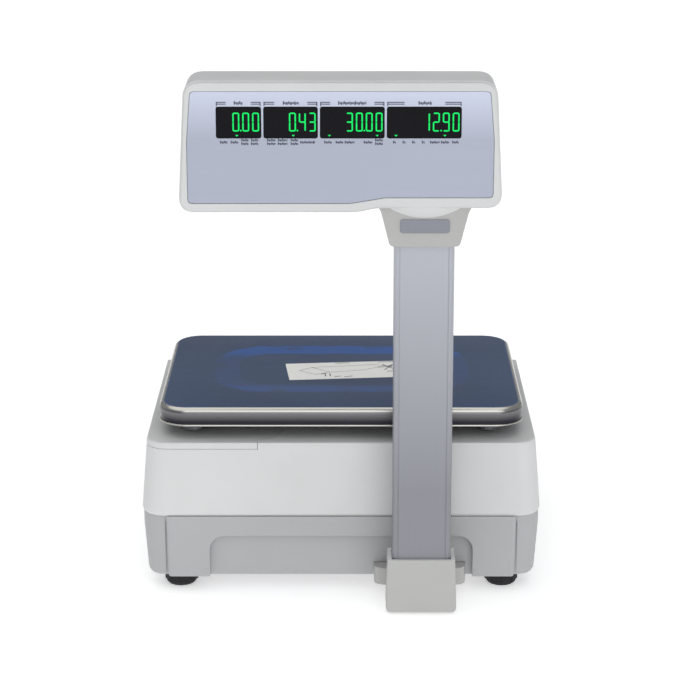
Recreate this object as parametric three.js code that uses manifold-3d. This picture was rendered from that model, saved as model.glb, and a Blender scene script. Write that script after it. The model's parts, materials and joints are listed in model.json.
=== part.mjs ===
// Label-printing price scale with a pole display, in millimetres, +Z up.
// The customer side faces -Y, the operator's keyboard faces +Y, and the origin
// is on the floor below the middle of the whole scale.
import * as THREE from 'three';
import { mergeVertices } from 'three/addons/utils/BufferGeometryUtils.js';
import Module from 'manifold-3d';

const wasm = await Module();
wasm.setup();

// ---- driving dimensions ---------------------------------------------------
const GAP = 0.4; // clearance left between neighbouring pieces
const WALL = 3; // moulded wall thickness

const REAR = -183; // customer-side face of the housing
const FRONT = 255; // operator-side edge of the housing
const DECK_Z = 162; // top of the housing, below the pan
const SEAM_Z = 83; // joint between upper housing and lower base
const HALF_DECK = 197; // half width of the housing at the deck
const HALF_WIDE = 203; // half width of the housing at its widest
const BASE_Z = 17; // underside of the lower base
const CORNER = 22; // plan radius of the housing's corners

const PAN = { half: 185, y0: -175, y1: 95, bottom: 176, rim: 189, top: 195.5, corner: 30, sheet: 1.5 };
const DISH = { half: 135, y0: -119, y1: 48, corner: 62, slope: 26, deep: 1.2 }; // pressed into the pan

const SLOPE = { y: 108, z: DECK_Z, run: 143, drop: 67 }; // keyboard slope
SLOPE.angle = Math.atan2(SLOPE.drop, SLOPE.run);
SLOPE.length = Math.hypot(SLOPE.drop, SLOPE.run);

const LID = { z: 155, x1: -84, x2: -60, yBend: -176, yCurve: -136, yEnd: 94 }; // lid over the labels

const APRON = { half: 178, legInner: 134, archTop: 62, archR: 15, recess: 8, groove: 1.2 };
const FOOT = { x: 165.5, rearY: -150.5, frontY: 212, r: 17.2, padTop: 13, studR: 4, bossR: 9 };

const POLE = { x: 80, y0: -237.5, y1: -211.5, half: 29, wall: 2.4, bottom: 8, top: 412 };
POLE.y = (POLE.y0 + POLE.y1) / 2;
const SOCKET = { halfTop: 33.4, halfBottom: 35.2, y0: -241.5, y1: -207, z0: 3, z1: 58.5, round: 5 };
const TONGUE = { half: 46.5, z0: 12.5, z1: 30.5, yFront: -193, yEnd: -126, round: 9 };

const HEAD = {
  y0: -255, y1: -195, halfBottom: 152, halfTop: 147,
  z0: 415, z1: 540, step: 4, stepX0: 9, stepX1: 42, cornerTop: 17, cornerBottom: 14,
};
HEAD.split = (HEAD.y0 + HEAD.y1) / 2;
const NECK = { z: 380, halfBottom: 33.6, halfTop: 43.2, y0: -246, y1: -204, round: 5, fillet: 6 };
const SADDLE = { halfWidth: 39, rise: 13, proud: 8 }; // scooped facet between neck and bezel
const BADGE = { half: 23.5, z0: 393.5, z1: 406.5, round: 2.5 };
const PANEL = { halfBottom: 143.5, halfTop: 140, z0: 424, z1: 530, deep: 2 };
const WINDOW = { z0: 486, z1: 516, edges: [[-116, -73.7], [-71.7, -21], [-19, 41.3], [43.3, 113]] };

const FRAME_X = -84; // inner side plate that carries the label printer
const ROLL = { y: -62, z: 88, r: 50, core: 20, x0: -152, x1: -94 };
const GEAR = { module: 1, width: 5, x0: FRAME_X + 6 };
const PLATEN = { y: 78, z: 112, r: 7, teeth: 24 };
const PINION = { teeth: 12 };
const IDLER = { teeth: 30 };
const REWIND = { teeth: 30, r: 12 };

// ---- geometry helpers -----------------------------------------------------
function solid(geometry) {
  let g = geometry.clone();
  g.deleteAttribute('normal');
  g.deleteAttribute('uv');
  g = mergeVertices(g, 1e-4);
  return new wasm.Manifold(new wasm.Mesh({
    numProp: 3,
    vertProperties: new Float32Array(g.attributes.position.array),
    triVerts: new Uint32Array(g.index.array),
  }));
}

function geometryOf(manifold) {
  const mesh = manifold.getMesh();
  const g = new THREE.BufferGeometry();
  g.setAttribute('position', new THREE.BufferAttribute(new Float32Array(mesh.vertProperties), 3));
  g.setIndex(new THREE.BufferAttribute(new Uint32Array(mesh.triVerts), 1));
  g.computeVertexNormals();
  return g;
}

const join = (...parts) => parts.reduce((a, b) => a.add(b));

function block(x0, x1, y0, y1, z0, z1) {
  const g = new THREE.BoxGeometry(x1 - x0, y1 - y0, z1 - z0);
  g.translate((x0 + x1) / 2, (y0 + y1) / 2, (z0 + z1) / 2);
  return solid(g);
}

function rounded(u0, u1, v0, v1, r) {
  const s = new THREE.Shape();
  s.moveTo(u0 + r, v0);
  s.lineTo(u1 - r, v0);
  s.absarc(u1 - r, v0 + r, r, -Math.PI / 2, 0);
  s.absarc(u1 - r, v1 - r, r, 0, Math.PI / 2);
  s.absarc(u0 + r, v1 - r, r, Math.PI / 2, Math.PI);
  s.absarc(u0 + r, v0 + r, r, Math.PI, 1.5 * Math.PI);
  return s;
}

function polygon(points) {
  return new THREE.Shape(points.map(([u, v]) => new THREE.Vector2(u, v)));
}

// Extrusions: along Z of an XY outline, along Y of an XZ one, along X of a YZ one.
// Corner arcs get twice as many steps as curveSegments says.
function extruded(shape, depth, curveSegments) {
  return new THREE.ExtrudeGeometry(shape, { depth, curveSegments, bevelEnabled: false });
}

function alongZ(shape, z0, z1, curveSegments = 3) {
  const g = extruded(shape, z1 - z0, curveSegments);
  g.translate(0, 0, z0);
  return solid(g);
}

function alongY(shape, y0, y1, curveSegments = 3) {
  const g = extruded(shape, y1 - y0, curveSegments);
  g.rotateX(Math.PI / 2);
  g.translate(0, y1, 0);
  return solid(g);
}

function alongX(shape, x0, x1, curveSegments = 3) {
  const g = extruded(shape, x1 - x0, curveSegments);
  g.applyMatrix4(new THREE.Matrix4().makeBasis(
    new THREE.Vector3(0, 1, 0), new THREE.Vector3(0, 0, 1), new THREE.Vector3(1, 0, 0)));
  g.translate(x0, 0, 0);
  return solid(g);
}

function rod(axis, r, from, to, u, v, sides = 24) {
  const g = new THREE.CylinderGeometry(r, r, to - from, sides);
  const mid = (from + to) / 2;
  if (axis === 'x') {
    g.rotateZ(-Math.PI / 2);
    g.translate(mid, u, v);
  } else if (axis === 'y') {
    g.translate(u, mid, v);
  } else {
    g.rotateX(Math.PI / 2);
    g.translate(u, v, mid);
  }
  return solid(g);
}

// A turned piece: profile of [radius, height] pairs, closed on the axis, standing along Z.
function turned(profile, x, y, z, sides = 32) {
  const g = new THREE.LatheGeometry(profile.map(([r, h]) => new THREE.Vector2(r, h)), sides);
  g.rotateX(Math.PI / 2);
  g.translate(x, y, z);
  return solid(g);
}

// A stack of rounded rectangles, skinned into one closed body.
function loft(levels, arcSteps = 4) {
  const rings = levels.map(({ z, x0, x1, y0, y1, r }) => {
    const corners = [[x1 - r, y0 + r, -90], [x1 - r, y1 - r, 0], [x0 + r, y1 - r, 90], [x0 + r, y0 + r, 180]];
    return corners.flatMap(([cx, cy, start]) => Array.from({ length: arcSteps + 1 }, (_, i) => {
      const a = THREE.MathUtils.degToRad(start + (90 * i) / arcSteps);
      return [cx + r * Math.cos(a), cy + r * Math.sin(a), z];
    }));
  });
  const n = rings[0].length;
  const position = rings.flat(2);
  const index = [];
  for (let k = 0; k + 1 < rings.length; k += 1) {
    for (let i = 0; i < n; i += 1) {
      const a = k * n + i;
      const b = k * n + ((i + 1) % n);
      index.push(a, b, b + n, a, b + n, a + n);
    }
  }
  const last = (rings.length - 1) * n;
  for (let i = 1; i + 1 < n; i += 1) {
    index.push(0, i + 1, i, last, last + i, last + i + 1);
  }
  const g = new THREE.BufferGeometry();
  g.setAttribute('position', new THREE.Float32BufferAttribute(position, 3));
  g.setIndex(index);
  return solid(g);
}

// A spur gear along X with straight-flanked teeth; phase turns it, in tooth pitches.
function gear(teeth, x0, x1, y, z, phase = 0) {
  const m = GEAR.module;
  const pitch = (teeth * m) / 2;
  const step = (2 * Math.PI) / teeth;
  const shape = new THREE.Shape();
  const root = pitch - 1.2 * m;
  const tip = pitch + 0.85 * m;
  const flank = [[-0.36, root], [-0.12, tip], [0.12, tip], [0.36, root]];
  for (let i = 0; i < teeth; i += 1) {
    flank.forEach(([offset, r], k) => {
      const a = (i + phase + offset) * step;
      const point = [r * Math.cos(a), r * Math.sin(a)];
      if (i === 0 && k === 0) shape.moveTo(...point);
      else shape.lineTo(...point);
    });
  }
  const g = extruded(shape, x1 - x0, 1);
  g.applyMatrix4(new THREE.Matrix4().makeBasis(
    new THREE.Vector3(0, 1, 0), new THREE.Vector3(0, 0, 1), new THREE.Vector3(1, 0, 0)));
  g.translate(x0, y, z);
  return solid(g);
}

// Turns a solid made flat at the origin (u along X, v down the slope, w out of it)
// onto the keyboard slope.
function onSlope(manifold) {
  const matrix = new THREE.Matrix4().makeTranslation(0, SLOPE.y, SLOPE.z)
    .multiply(new THREE.Matrix4().makeRotationX(-SLOPE.angle));
  return manifold.transform(matrix.elements);
}

// ---- materials ------------------------------------------------------------
const finish = (color, roughness, metalness = 0) => (
  () => new THREE.MeshStandardMaterial({ color, roughness, metalness }));
const shellPlastic = finish(0xdedfd8, 0.5);
const basePlastic = finish(0xcfd1d0, 0.55);
const blackRubber = finish(0x26262b, 0.85);
const darkPlastic = finish(0x2c2d30, 0.5);
const steel = finish(0xb9bcc0, 0.35, 0.9);
const aluminium = finish(0xa9afb8, 0.4, 0.85);
const panelSilver = finish(0xaeb4c4, 0.4, 0.6);
const smokedWindow = finish(0x15151b, 0.15);
const greyPlastic = finish(0x90939b, 0.5);
const whitePlastic = finish(0xe9e9e4, 0.5);
const greenBoard = finish(0x1f5a38, 0.6);
const paper = finish(0xf1f0ea, 0.8);
const levelLiquid = finish(0xb6d94a, 0.1);

const scale = new THREE.Group();

function piece(name, manifold, material) {
  const mesh = new THREE.Mesh(geometryOf(manifold), material());
  mesh.name = name;
  scale.add(mesh);
}

// ---- housing --------------------------------------------------------------
function housingLoft(inset, top, bottom) {
  const level = (z, half, trim) => ({
    z,
    x0: -half + inset + trim, x1: half - inset - trim,
    y0: REAR + inset + trim, y1: FRONT - inset - trim,
    r: CORNER - inset,
  });
  return loft([
    level(bottom, HALF_WIDE, bottom < SEAM_Z + 4 ? 1.8 : 0),
    level(SEAM_Z + 4, HALF_WIDE, 0),
    level(top - 2, HALF_DECK, 0),
    level(top - 0.6, HALF_DECK, 0.6),
    level(top, HALF_DECK, 2),
  ]);
}

// What the keyboard slope takes away from a body, shifted down by depth.
function slopeCutter(depth) {
  const z = SLOPE.z - depth;
  return alongX(polygon([
    [SLOPE.y - 40, z], [SLOPE.y, z],
    [SLOPE.y + SLOPE.run * 1.3, z - SLOPE.drop * 1.3],
    [FRONT + 60, 260], [SLOPE.y - 40, 260],
  ]), -260, 260);
}

// The lid seen from above: its inner edge leaves the rear face square, turns inwards
// over the deck and sweeps back under the pan.
function lidOutline(grow) {
  const { x1, x2, yBend, yCurve, yEnd } = LID;
  const s = new THREE.Shape();
  s.moveTo(-260, REAR - 40);
  s.lineTo(x1 + grow, REAR - 40);
  s.lineTo(x1 + grow, yBend - grow);
  s.quadraticCurveTo(x2 + grow, yBend - grow, x2 + grow, yCurve);
  s.lineTo(x2 + grow, yEnd + grow);
  s.lineTo(-260, yEnd + grow);
  return s;
}

function upperHousing() {
  const outer = housingLoft(0, DECK_Z, SEAM_Z + GAP / 2).subtract(slopeCutter(0));
  const inner = housingLoft(WALL, DECK_Z - WALL, SEAM_Z - 2).subtract(slopeCutter(WALL + 0.4));
  let body = outer.subtract(inner);
  body = body.subtract(alongZ(lidOutline(GAP), LID.z, DECK_Z + 5, 6));
  body = body.subtract(alongZ(rounded(-30, 30, -65, -5, 10), DECK_Z - 10, DECK_Z + 5));
  body = body.subtract(onSlope(alongZ(rounded(-52, 186, 14, 150, 5), -1.2, 5)));
  body = body.subtract(onSlope(alongZ(rounded(-176, -76, 26, 70, 4), -12, 8)));
  body = body.subtract(onSlope(rod('z', LEVEL.r + GAP, -12, 8, LEVEL.x, LEVEL.v, 24)));
  return body;
}

function labelLid() {
  const outer = housingLoft(0, DECK_Z, SEAM_Z).subtract(slopeCutter(0));
  const inner = housingLoft(WALL, DECK_Z - WALL, SEAM_Z);
  const region = alongZ(lidOutline(0), LID.z + GAP, DECK_Z + 5, 6);
  const pocket = alongZ(lidOutline(-WALL), LID.z - 10, DECK_Z - WALL, 6);
  return outer.intersect(region).subtract(inner.intersect(pocket));
}

function lowerBase() {
  const level = (z, half, rear, front, r) => ({ z, x0: -half, x1: half, y0: rear, y1: front, r });
  const top = SEAM_Z - GAP / 2;
  let body = loft([
    level(BASE_Z, 196, -174.5, 246.5, 16), level(BASE_Z + 4, 198.5, -176.5, 249, 18.5),
    level(70, 202, -177.5, 250, 20), level(top, 202, -177.5, 250, 20),
  ]);
  for (const side of [-1, 1]) {
    const from = side * APRON.half;
    const to = side * (APRON.half + APRON.groove);
    body = body.subtract(block(Math.min(from, to), Math.max(from, to), REAR, -175.7, BASE_Z - 1, 76));
  }
  body = body.add(loft([
    level(BASE_Z + 0.5, APRON.half - 2, REAR + 0.8, -150, 3),
    level(BASE_Z + 3, APRON.half - 1, REAR, -150, 4),
    level(top, APRON.half, REAR, -150, 4),
  ]));
  body = body.subtract(alongY(rounded(
    -APRON.legInner, APRON.legInner, -40, APRON.archTop, APRON.archR), REAR - 5, REAR + APRON.recess));
  body = body.subtract(loft([
    level(BASE_Z + WALL, 195, -171, 245.5, 15.5), level(top + 2, 199, -173, 247, 17),
  ]));
  const floorCut = TONGUE.half + GAP;
  body = body.subtract(block(
    POLE.x - floorCut, POLE.x + floorCut, REAR - 5, TONGUE.yEnd + GAP, 0, TONGUE.z1 + GAP));
  for (const [x, y] of footPlaces()) {
    body = body.add(rod('z', FOOT.bossR, BASE_Z + 1, 42, x, y, 16));
    body = body.subtract(rod('z', FOOT.studR + GAP, 0, 60, x, y, 12));
  }
  return body;
}

function footPlaces() {
  return [[-FOOT.x, FOOT.rearY], [FOOT.x, FOOT.rearY], [-FOOT.x, FOOT.frontY], [FOOT.x, FOOT.frontY]];
}

function footPad(x, y) {
  const ribs = 8;
  const ribR = 2;
  const rimR = FOOT.r - 1.2;
  let body = turned([
    [0, 0], [13.5, 0], [rimR, 3], [rimR, 11], [14, FOOT.padTop], [0, FOOT.padTop],
  ], x, y, 0, 16);
  for (let i = 0; i < ribs; i += 1) {
    const a = (2 * Math.PI * i) / ribs;
    const reach = FOOT.r - ribR;
    body = body.add(rod('z', ribR, 3, 11, x + reach * Math.cos(a), y + reach * Math.sin(a), 4));
  }
  return body.subtract(rod('z', FOOT.studR + GAP, 4, 20, x, y, 12));
}

function footStud(x, y) {
  const collar = FOOT.padTop + GAP;
  return turned([
    [0, 4 + GAP], [FOOT.studR, 4 + GAP], [FOOT.studR, collar],
    [7, collar], [7, 16.4], [FOOT.studR, 16.4],
    [FOOT.studR, 47], [FOOT.studR - 1, 48], [0, 48],
  ], x, y, 0, 12);
}

// ---- weighing platform ----------------------------------------------------
// Levels of the pan's outer skin, moved inwards by t for its underside: a skirt that
// leans in slightly, a rounded shoulder and the flat top.
function panLevels(t) {
  const { half, y0, y1, bottom, rim, top, corner } = PAN;
  const level = (z, inset) => ({
    z, x0: -half + inset, x1: half - inset, y0: y0 + inset, y1: y1 - inset, r: corner - inset,
  });
  const shoulder = top - rim;
  const steps = 4;
  const round = Array.from({ length: steps + 1 }, (_, i) => {
    const a = (Math.PI / 2) * (i / steps);
    return level(rim + (shoulder - t) * Math.sin(a), t + (shoulder - t) * (1 - Math.cos(a)));
  });
  return [level(t > 0 ? bottom - 1 : bottom, 1.4 + t), ...round];
}

function dish(depthFrom, depthTo, grow) {
  const { half, y0, y1, corner, slope } = DISH;
  const level = (z, inset) => ({
    z, x0: -half + inset, x1: half - inset, y0: y0 + inset, y1: y1 - inset, r: corner - inset,
  });
  return loft([level(depthTo, slope - grow), level(depthFrom, -grow)], 6);
}

function weighingPan() {
  const { top, sheet } = PAN;
  const skin = loft(panLevels(0), 5).subtract(loft(panLevels(sheet), 5));
  const under = dish(top - sheet + 0.3, top - sheet - DISH.deep, 1);
  return skin.add(under).subtract(dish(top + 0.02, top - DISH.deep, 0));
}

const PAD_PLACES = [[-150, -140], [150, -140], [-150, 60], [150, 60]];
const PLATFORM = { y: -40, plateZ: 165.5, armTop: 175, bossTop: 182 };

function platformSpider() {
  const { y: yMid, plateZ, armTop, bossTop } = PLATFORM;
  let body = alongZ(rounded(-45, 45, yMid - 40, yMid + 40, 10), plateZ, plateZ + 6);
  for (const [x, y] of PAD_PLACES) {
    const angle = Math.atan2(y - yMid, x);
    const reach = Math.hypot(x, y - yMid);
    const turn = new THREE.Matrix4().makeTranslation(0, yMid, 0)
      .multiply(new THREE.Matrix4().makeRotationZ(angle));
    const web = alongY(polygon([
      [20, plateZ], [reach, plateZ], [reach, bossTop - 3], [reach - 30, armTop], [20, armTop + 5],
    ]), -3, 3);
    const flange = block(20, reach, -10, 10, plateZ, plateZ + 2.5);
    body = join(body, web.transform(turn.elements), flange.transform(turn.elements));
    body = body.add(rod('z', 13, plateZ, bossTop, x, y, 20));
  }
  return body.add(alongZ(rounded(-26, 26, yMid - 22, yMid + 22, 6), plateZ, armTop + 5));
}

function panPad(x, y) {
  const z = PLATFORM.bossTop + GAP;
  const top = PAN.top - PAN.sheet - GAP;
  return turned([[0, z], [10, z], [10, top - 2], [8, top], [0, top]], x, y, 0, 16);
}

function platformPost() {
  return alongZ(rounded(-22, 22, -62, -18, 6), 132, PLATFORM.plateZ - GAP)
    .add(alongZ(rounded(-18, 18, -100, -18, 4), 124, 132));
}

function loadCell() {
  const body = block(-18, 18, -100, 60, 84, 124 - 2 * GAP);
  const lobes = join(
    rod('x', 12, -30, 30, -32, 104), rod('x', 12, -30, 30, -8, 104),
    block(-30, 30, -32, -8, 99, 109),
  );
  const threads = [-88, -70, 34, 50].map((y) => rod('z', 3, 80, 130, 0, y, 12));
  return body.subtract(join(lobes, ...threads));
}

function loadCellMount() {
  return block(-18, 18, 20, 60, BASE_Z + WALL + 8, 84 - GAP)
    .add(alongZ(rounded(-45, 45, -30, 90, 8), BASE_Z + WALL + GAP, BASE_Z + WALL + 8));
}

// ---- label printer --------------------------------------------------------
const IDLER_AT = gearPlace(PLATEN, PLATEN.teeth, IDLER.teeth, 215);
const PINION_AT = gearPlace(IDLER_AT, IDLER.teeth, PINION.teeth, 300);
const REWIND_AT = gearPlace(IDLER_AT, IDLER.teeth, REWIND.teeth, 205);

// Where a gear of so many teeth meshes with another, at an angle in degrees from it.
function gearPlace(from, fromTeeth, teeth, degrees) {
  const reach = ((fromTeeth + teeth) * GEAR.module) / 2 + 0.15;
  const a = THREE.MathUtils.degToRad(degrees);
  return { y: from.y + reach * Math.cos(a), z: from.z + reach * Math.sin(a), angle: degrees };
}

// Phase that puts a gap of the new gear where a tooth of the other one points at it.
function meshPhase(from, fromTeeth, fromPhase, at, teeth) {
  const toward = (at.angle / 360) * fromTeeth - fromPhase;
  const back = ((at.angle + 180) / 360) * teeth;
  const phase = back + 0.5 + (toward - Math.round(toward));
  return phase - Math.floor(phase);
}

function printerFrame() {
  let plate = alongX(rounded(-125, 100, 24, 148, 8), FRAME_X, FRAME_X + 3);
  plate = plate.add(block(FRAME_X, FRAME_X + 22, -110, 90, BASE_Z + WALL + GAP, BASE_Z + WALL + 5));
  for (const [y, z, r] of [
    [PLATEN.y, PLATEN.z, 4], [IDLER_AT.y, IDLER_AT.z, 2.9], [REWIND_AT.y, REWIND_AT.z, 4],
    [PINION_AT.y, PINION_AT.z, 8], [ROLL.y, ROLL.z, 5],
  ]) {
    plate = plate.subtract(rod('x', r, FRAME_X - 5, FRAME_X + 5, y, z, 24));
  }
  return plate;
}

function platenRoller() {
  const { y, z, r } = PLATEN;
  return join(
    rod('x', r, -158, FRAME_X - 2, y, z, 24),
    rod('x', 3.6, -164, GEAR.x0 + 1, y, z, 16),
    gear(PLATEN.teeth, GEAR.x0, GEAR.x0 + GEAR.width, y, z),
  );
}

function idlerGear() {
  const { y, z } = IDLER_AT;
  const wheel = gear(IDLER.teeth, GEAR.x0, GEAR.x0 + GEAR.width, y, z,
    meshPhase(PLATEN, PLATEN.teeth, 0, IDLER_AT, IDLER.teeth));
  const webHoles = Array.from({ length: 5 }, (_, i) => {
    const a = (2 * Math.PI * i) / 5;
    const [holeY, holeZ] = [y + 8.6 * Math.cos(a), z + 8.6 * Math.sin(a)];
    return rod('x', 2.8, GEAR.x0 - 1, GEAR.x0 + GEAR.width + 1, holeY, holeZ, 8);
  });
  return wheel.subtract(join(...webHoles)).add(rod('x', 2.5, FRAME_X - 2, GEAR.x0 + 1, y, z, 16));
}

function motorPinion() {
  const { y, z } = PINION_AT;
  const idlerPhase = meshPhase(PLATEN, PLATEN.teeth, 0, IDLER_AT, IDLER.teeth);
  return gear(PINION.teeth, GEAR.x0, GEAR.x0 + GEAR.width, y, z,
    meshPhase(IDLER_AT, IDLER.teeth, idlerPhase, PINION_AT, PINION.teeth))
    .add(rod('x', 2.4, FRAME_X - 1.5, GEAR.x0 + 1, y, z, 16));
}

function rewindSpool() {
  const { y, z } = REWIND_AT;
  const grip = block(-153, FRAME_X - 8, y - 0.8, y + 0.8, z + 4, z + REWIND.r + 1);
  const idlerPhase = meshPhase(PLATEN, PLATEN.teeth, 0, IDLER_AT, IDLER.teeth);
  return join(
    gear(REWIND.teeth, GEAR.x0, GEAR.x0 + GEAR.width, y, z,
      meshPhase(IDLER_AT, IDLER.teeth, idlerPhase, REWIND_AT, REWIND.teeth)),
    rod('x', 3.6, FRAME_X - 3, GEAR.x0 + 1, y, z, 16),
    rod('x', REWIND.r, -152, FRAME_X - 2, y, z, 24),
    rod('x', REWIND.r + 5, FRAME_X - 4, FRAME_X - 2, y, z, 24),
  ).subtract(grip);
}

function driveMotor() {
  const { y, z } = PINION_AT;
  const ears = alongX(rounded(y - 7, y + 7, z - 24, z + 24, 6.9), FRAME_X - 4, FRAME_X - 2);
  return rod('x', 17, FRAME_X - 32, FRAME_X - 2, y, z, 24).add(ears)
    .subtract(rod('x', 3, FRAME_X - 10, FRAME_X + 1, y, z, 16));
}

function rollSpindle() {
  const { y, z, x0 } = ROLL;
  return join(
    rod('x', 8, x0 - 8, FRAME_X - GAP, y, z, 24), rod('x', 4.6, FRAME_X - 1, FRAME_X + 3, y, z, 24),
    rod('x', 12, x0 - 12, x0 - 8, y, z, 24),
  );
}

function labelRoll() {
  const { y, z, r, core, x0, x1 } = ROLL;
  return rod('x', r, x0, x1, y, z, 40).subtract(rod('x', core, x0 - 1, x1 + 1, y, z, 24));
}

const HEAD_PIVOT = { y: PLATEN.y - 34, z: PLATEN.z + 18 };

function printHead() {
  const { y, z, r } = PLATEN;
  const bar = block(-156, FRAME_X - 6, y - 9, y + 5, z + r + 0.6, z + r + 7);
  const fins = Array.from({ length: 10 }, (_, i) => {
    const x = -154 + 6.6 * i;
    return block(x, x + 1.8, y - 4, y + 5, z + r + 6, z + r + 10);
  });
  const arm = block(-150, FRAME_X - 10, HEAD_PIVOT.y, y - 5, z + r + 5, z + r + 9);
  const hub = rod('x', 5, -156, FRAME_X - 4, HEAD_PIVOT.y, HEAD_PIVOT.z, 20)
    .subtract(rod('x', 2.4, -160, FRAME_X, HEAD_PIVOT.y, HEAD_PIVOT.z, 16));
  return join(bar, arm, hub, ...fins);
}

function headShaft() {
  return rod('x', 2, -160, FRAME_X - GAP, HEAD_PIVOT.y, HEAD_PIVOT.z, 16);
}

const LEVER_AT = { y: PLATEN.y - 6, z: PLATEN.z + 25 };

function headLever() {
  const { y, z } = LEVER_AT;
  return join(
    rod('x', 2.5, -172, FRAME_X - GAP, y, z, 16),
    rod('x', 6, -172, -164, y, z, 20),
    block(-171, -165, y - 17, y, z + 1, z + 6),
  );
}

function peelBar() {
  return alongX(polygon([[90, 117], [97, 119.5], [97, 121], [90, 121]]), -158, FRAME_X - GAP);
}

function labelOutlet() {
  const outer = alongZ(rounded(-176 + GAP, -76 - GAP, 26 + GAP, 70 - GAP, 4), -11, 0.8);
  const slot = alongZ(rounded(-166, -86, 36, 60, 3), -20, 10);
  return onSlope(outer.subtract(slot));
}

// ---- electronics ----------------------------------------------------------
function mainBoard() {
  const floor = BASE_Z + WALL + GAP;
  const z = floor + 7.6;
  const corners = [[65, 25], [185, 25], [65, 185], [185, 185]];
  const posts = corners.map(([x, y]) => rod('z', 2.5, floor, z + 0.5, x, y, 12));
  return join(
    block(60, 190, 20, 190, z, z + 1.6),
    block(75, 105, 60, 90, z + 1.5, z + 4),
    block(120, 150, 100, 118, z + 1.5, z + 12),
    block(150, 178, 30, 60, z + 1.5, z + 14),
    rod('z', 6, z + 1.5, z + 20, 90, 150, 16),
    ...posts,
  );
}

function powerSupply() {
  const z = BASE_Z + WALL + GAP;
  return join(
    block(62, 182, -100, -10, z, z + 2), block(62, 64, -100, -10, z, z + 34),
    block(66, 182, -98, -12, z + 5, z + 6.6), block(63, 67, -98, -12, z + 5, z + 6.6),
    block(84, 122, -76, -36, z + 1, z + 34), block(140, 168, -90, -84, z + 1, z + 30),
    rod('z', 9, z + 1, z + 30, 145, -50, 16), rod('z', 9, z + 1, z + 30, 167, -50, 16),
  );
}

const ROCKER = { x: 196, tilt: THREE.MathUtils.degToRad(7) }; // pivot and rest tilt of the mains rocker
const SIDE = { x: 202, inletY: 84, switchY: 50, portY0: -30, portY1: 26, z: 50 };

function sideCut(y0, y1, z0, z1) {
  return block(SIDE.x - 12, SIDE.x + 5, y0, y1, z0, z1);
}

function mainsInlet() {
  const { inletY, z } = SIDE;
  const shell = alongX(polygon([
    [inletY - 14, z - 10], [inletY + 14, z - 10], [inletY + 14, z + 5], [inletY + 9, z + 10],
    [inletY - 9, z + 10], [inletY - 14, z + 5],
  ]), SIDE.x - 22, SIDE.x - 1.2);
  const well = alongX(polygon([
    [inletY - 12, z - 8], [inletY + 12, z - 8], [inletY + 12, z + 4], [inletY + 8, z + 8],
    [inletY - 8, z + 8], [inletY - 12, z + 4],
  ]), SIDE.x - 18, SIDE.x + 2);
  const blades = [-7, 0, 7].map((dy) => {
    const middle = z + (dy === 0 ? 3 : 0);
    return block(SIDE.x - 19, SIDE.x - 9, inletY + dy - 1, inletY + dy + 1, middle - 2, middle + 2);
  });
  return join(shell.subtract(well), ...blades);
}

function switchFrame() {
  const { switchY, z } = SIDE;
  return block(SIDE.x - 20, SIDE.x - 1.2, switchY - 8, switchY + 8, z - 12, z + 12)
    .subtract(block(SIDE.x - 12, SIDE.x + 3, switchY - 6, switchY + 6, z - 10, z + 10));
}

function powerRocker() {
  const { switchY, z } = SIDE;
  const { x } = ROCKER;
  const tilt = new THREE.Matrix4().makeTranslation(x, 0, z)
    .multiply(new THREE.Matrix4().makeRotationY(ROCKER.tilt));
  return alongY(polygon([
    [-3, -6.5], [3.4, -9.2], [3.9, -7], [2.6, 0], [3.9, 7], [3.4, 9.2], [-3, 6.5],
  ]), switchY - 5.5, switchY + 5.5).transform(tilt.elements);
}

function portPanel() {
  const { portY0, portY1, z } = SIDE;
  let body = block(SIDE.x - 6, SIDE.x - 4.5, portY0 + GAP, portY1 - GAP, z - 12, z + 12);
  for (const [y, w] of [[portY0 + 13, 9], [portY0 + 36, 11]]) {
    body = body.add(block(SIDE.x - 16, SIDE.x - 3.5, y - w, y + w, z - 8, z + 8))
      .subtract(block(SIDE.x - 14, SIDE.x, y - w + 1.5, y + w - 1.5, z - 6, z + 6));
  }
  return body;
}

// ---- operator's controls --------------------------------------------------
// Item keys on the left, then the numbers, then two columns of function keys.
const KEY_GROUPS = [
  { x0: -36, y0: 31, columns: 7, rows: 6, pitchX: 18, pitchY: 20.4, halfX: 7.8, halfY: 8.4 },
  { x0: 97, y0: 31, columns: 3, rows: 6, pitchX: 18, pitchY: 20.4, halfX: 7.8, halfY: 8.4 },
  { x0: 155, y0: 31, columns: 2, rows: 6, pitchX: 19, pitchY: 20.4, halfX: 8.4, halfY: 8.4 },
];

function keypadPanel() {
  const z = -1.2 + GAP;
  let body = alongZ(rounded(-52 + GAP, 186 - GAP, 14 + GAP, 150 - GAP, 5), z, z + 1.4);
  for (const { x0, y0, columns, rows, pitchX, pitchY, halfX, halfY } of KEY_GROUPS) {
    for (let i = 0; i < columns; i += 1) {
      for (let j = 0; j < rows; j += 1) {
        const x = x0 + i * pitchX;
        const y = y0 + j * pitchY;
        body = body.add(block(x - halfX, x + halfX, y - halfY, y + halfY, z + 1, z + 1.9));
      }
    }
  }
  return onSlope(body);
}

const LEVEL = { x: -66, v: 100, r: 10, deep: 7 };

function levelBody() {
  const { x, v, r, deep } = LEVEL;
  return onSlope(turned([
    [0, -deep], [r, -deep], [r, GAP], [r + 2, GAP], [r + 1.4, 1.3],
    [r - 1.5, 1.2], [r - 2, -deep + 2], [0, -deep + 2],
  ], x, v, 0, 16));
}

function levelVial() {
  const { x, v, r, deep } = LEVEL;
  return onSlope(turned([
    [0, 2.4 - deep], [r - 2.4, 2.4 - deep], [r - 2.2, -0.4], [r - 4, 0.4], [0, 0.8],
  ], x, v, 0, 16));
}

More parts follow.
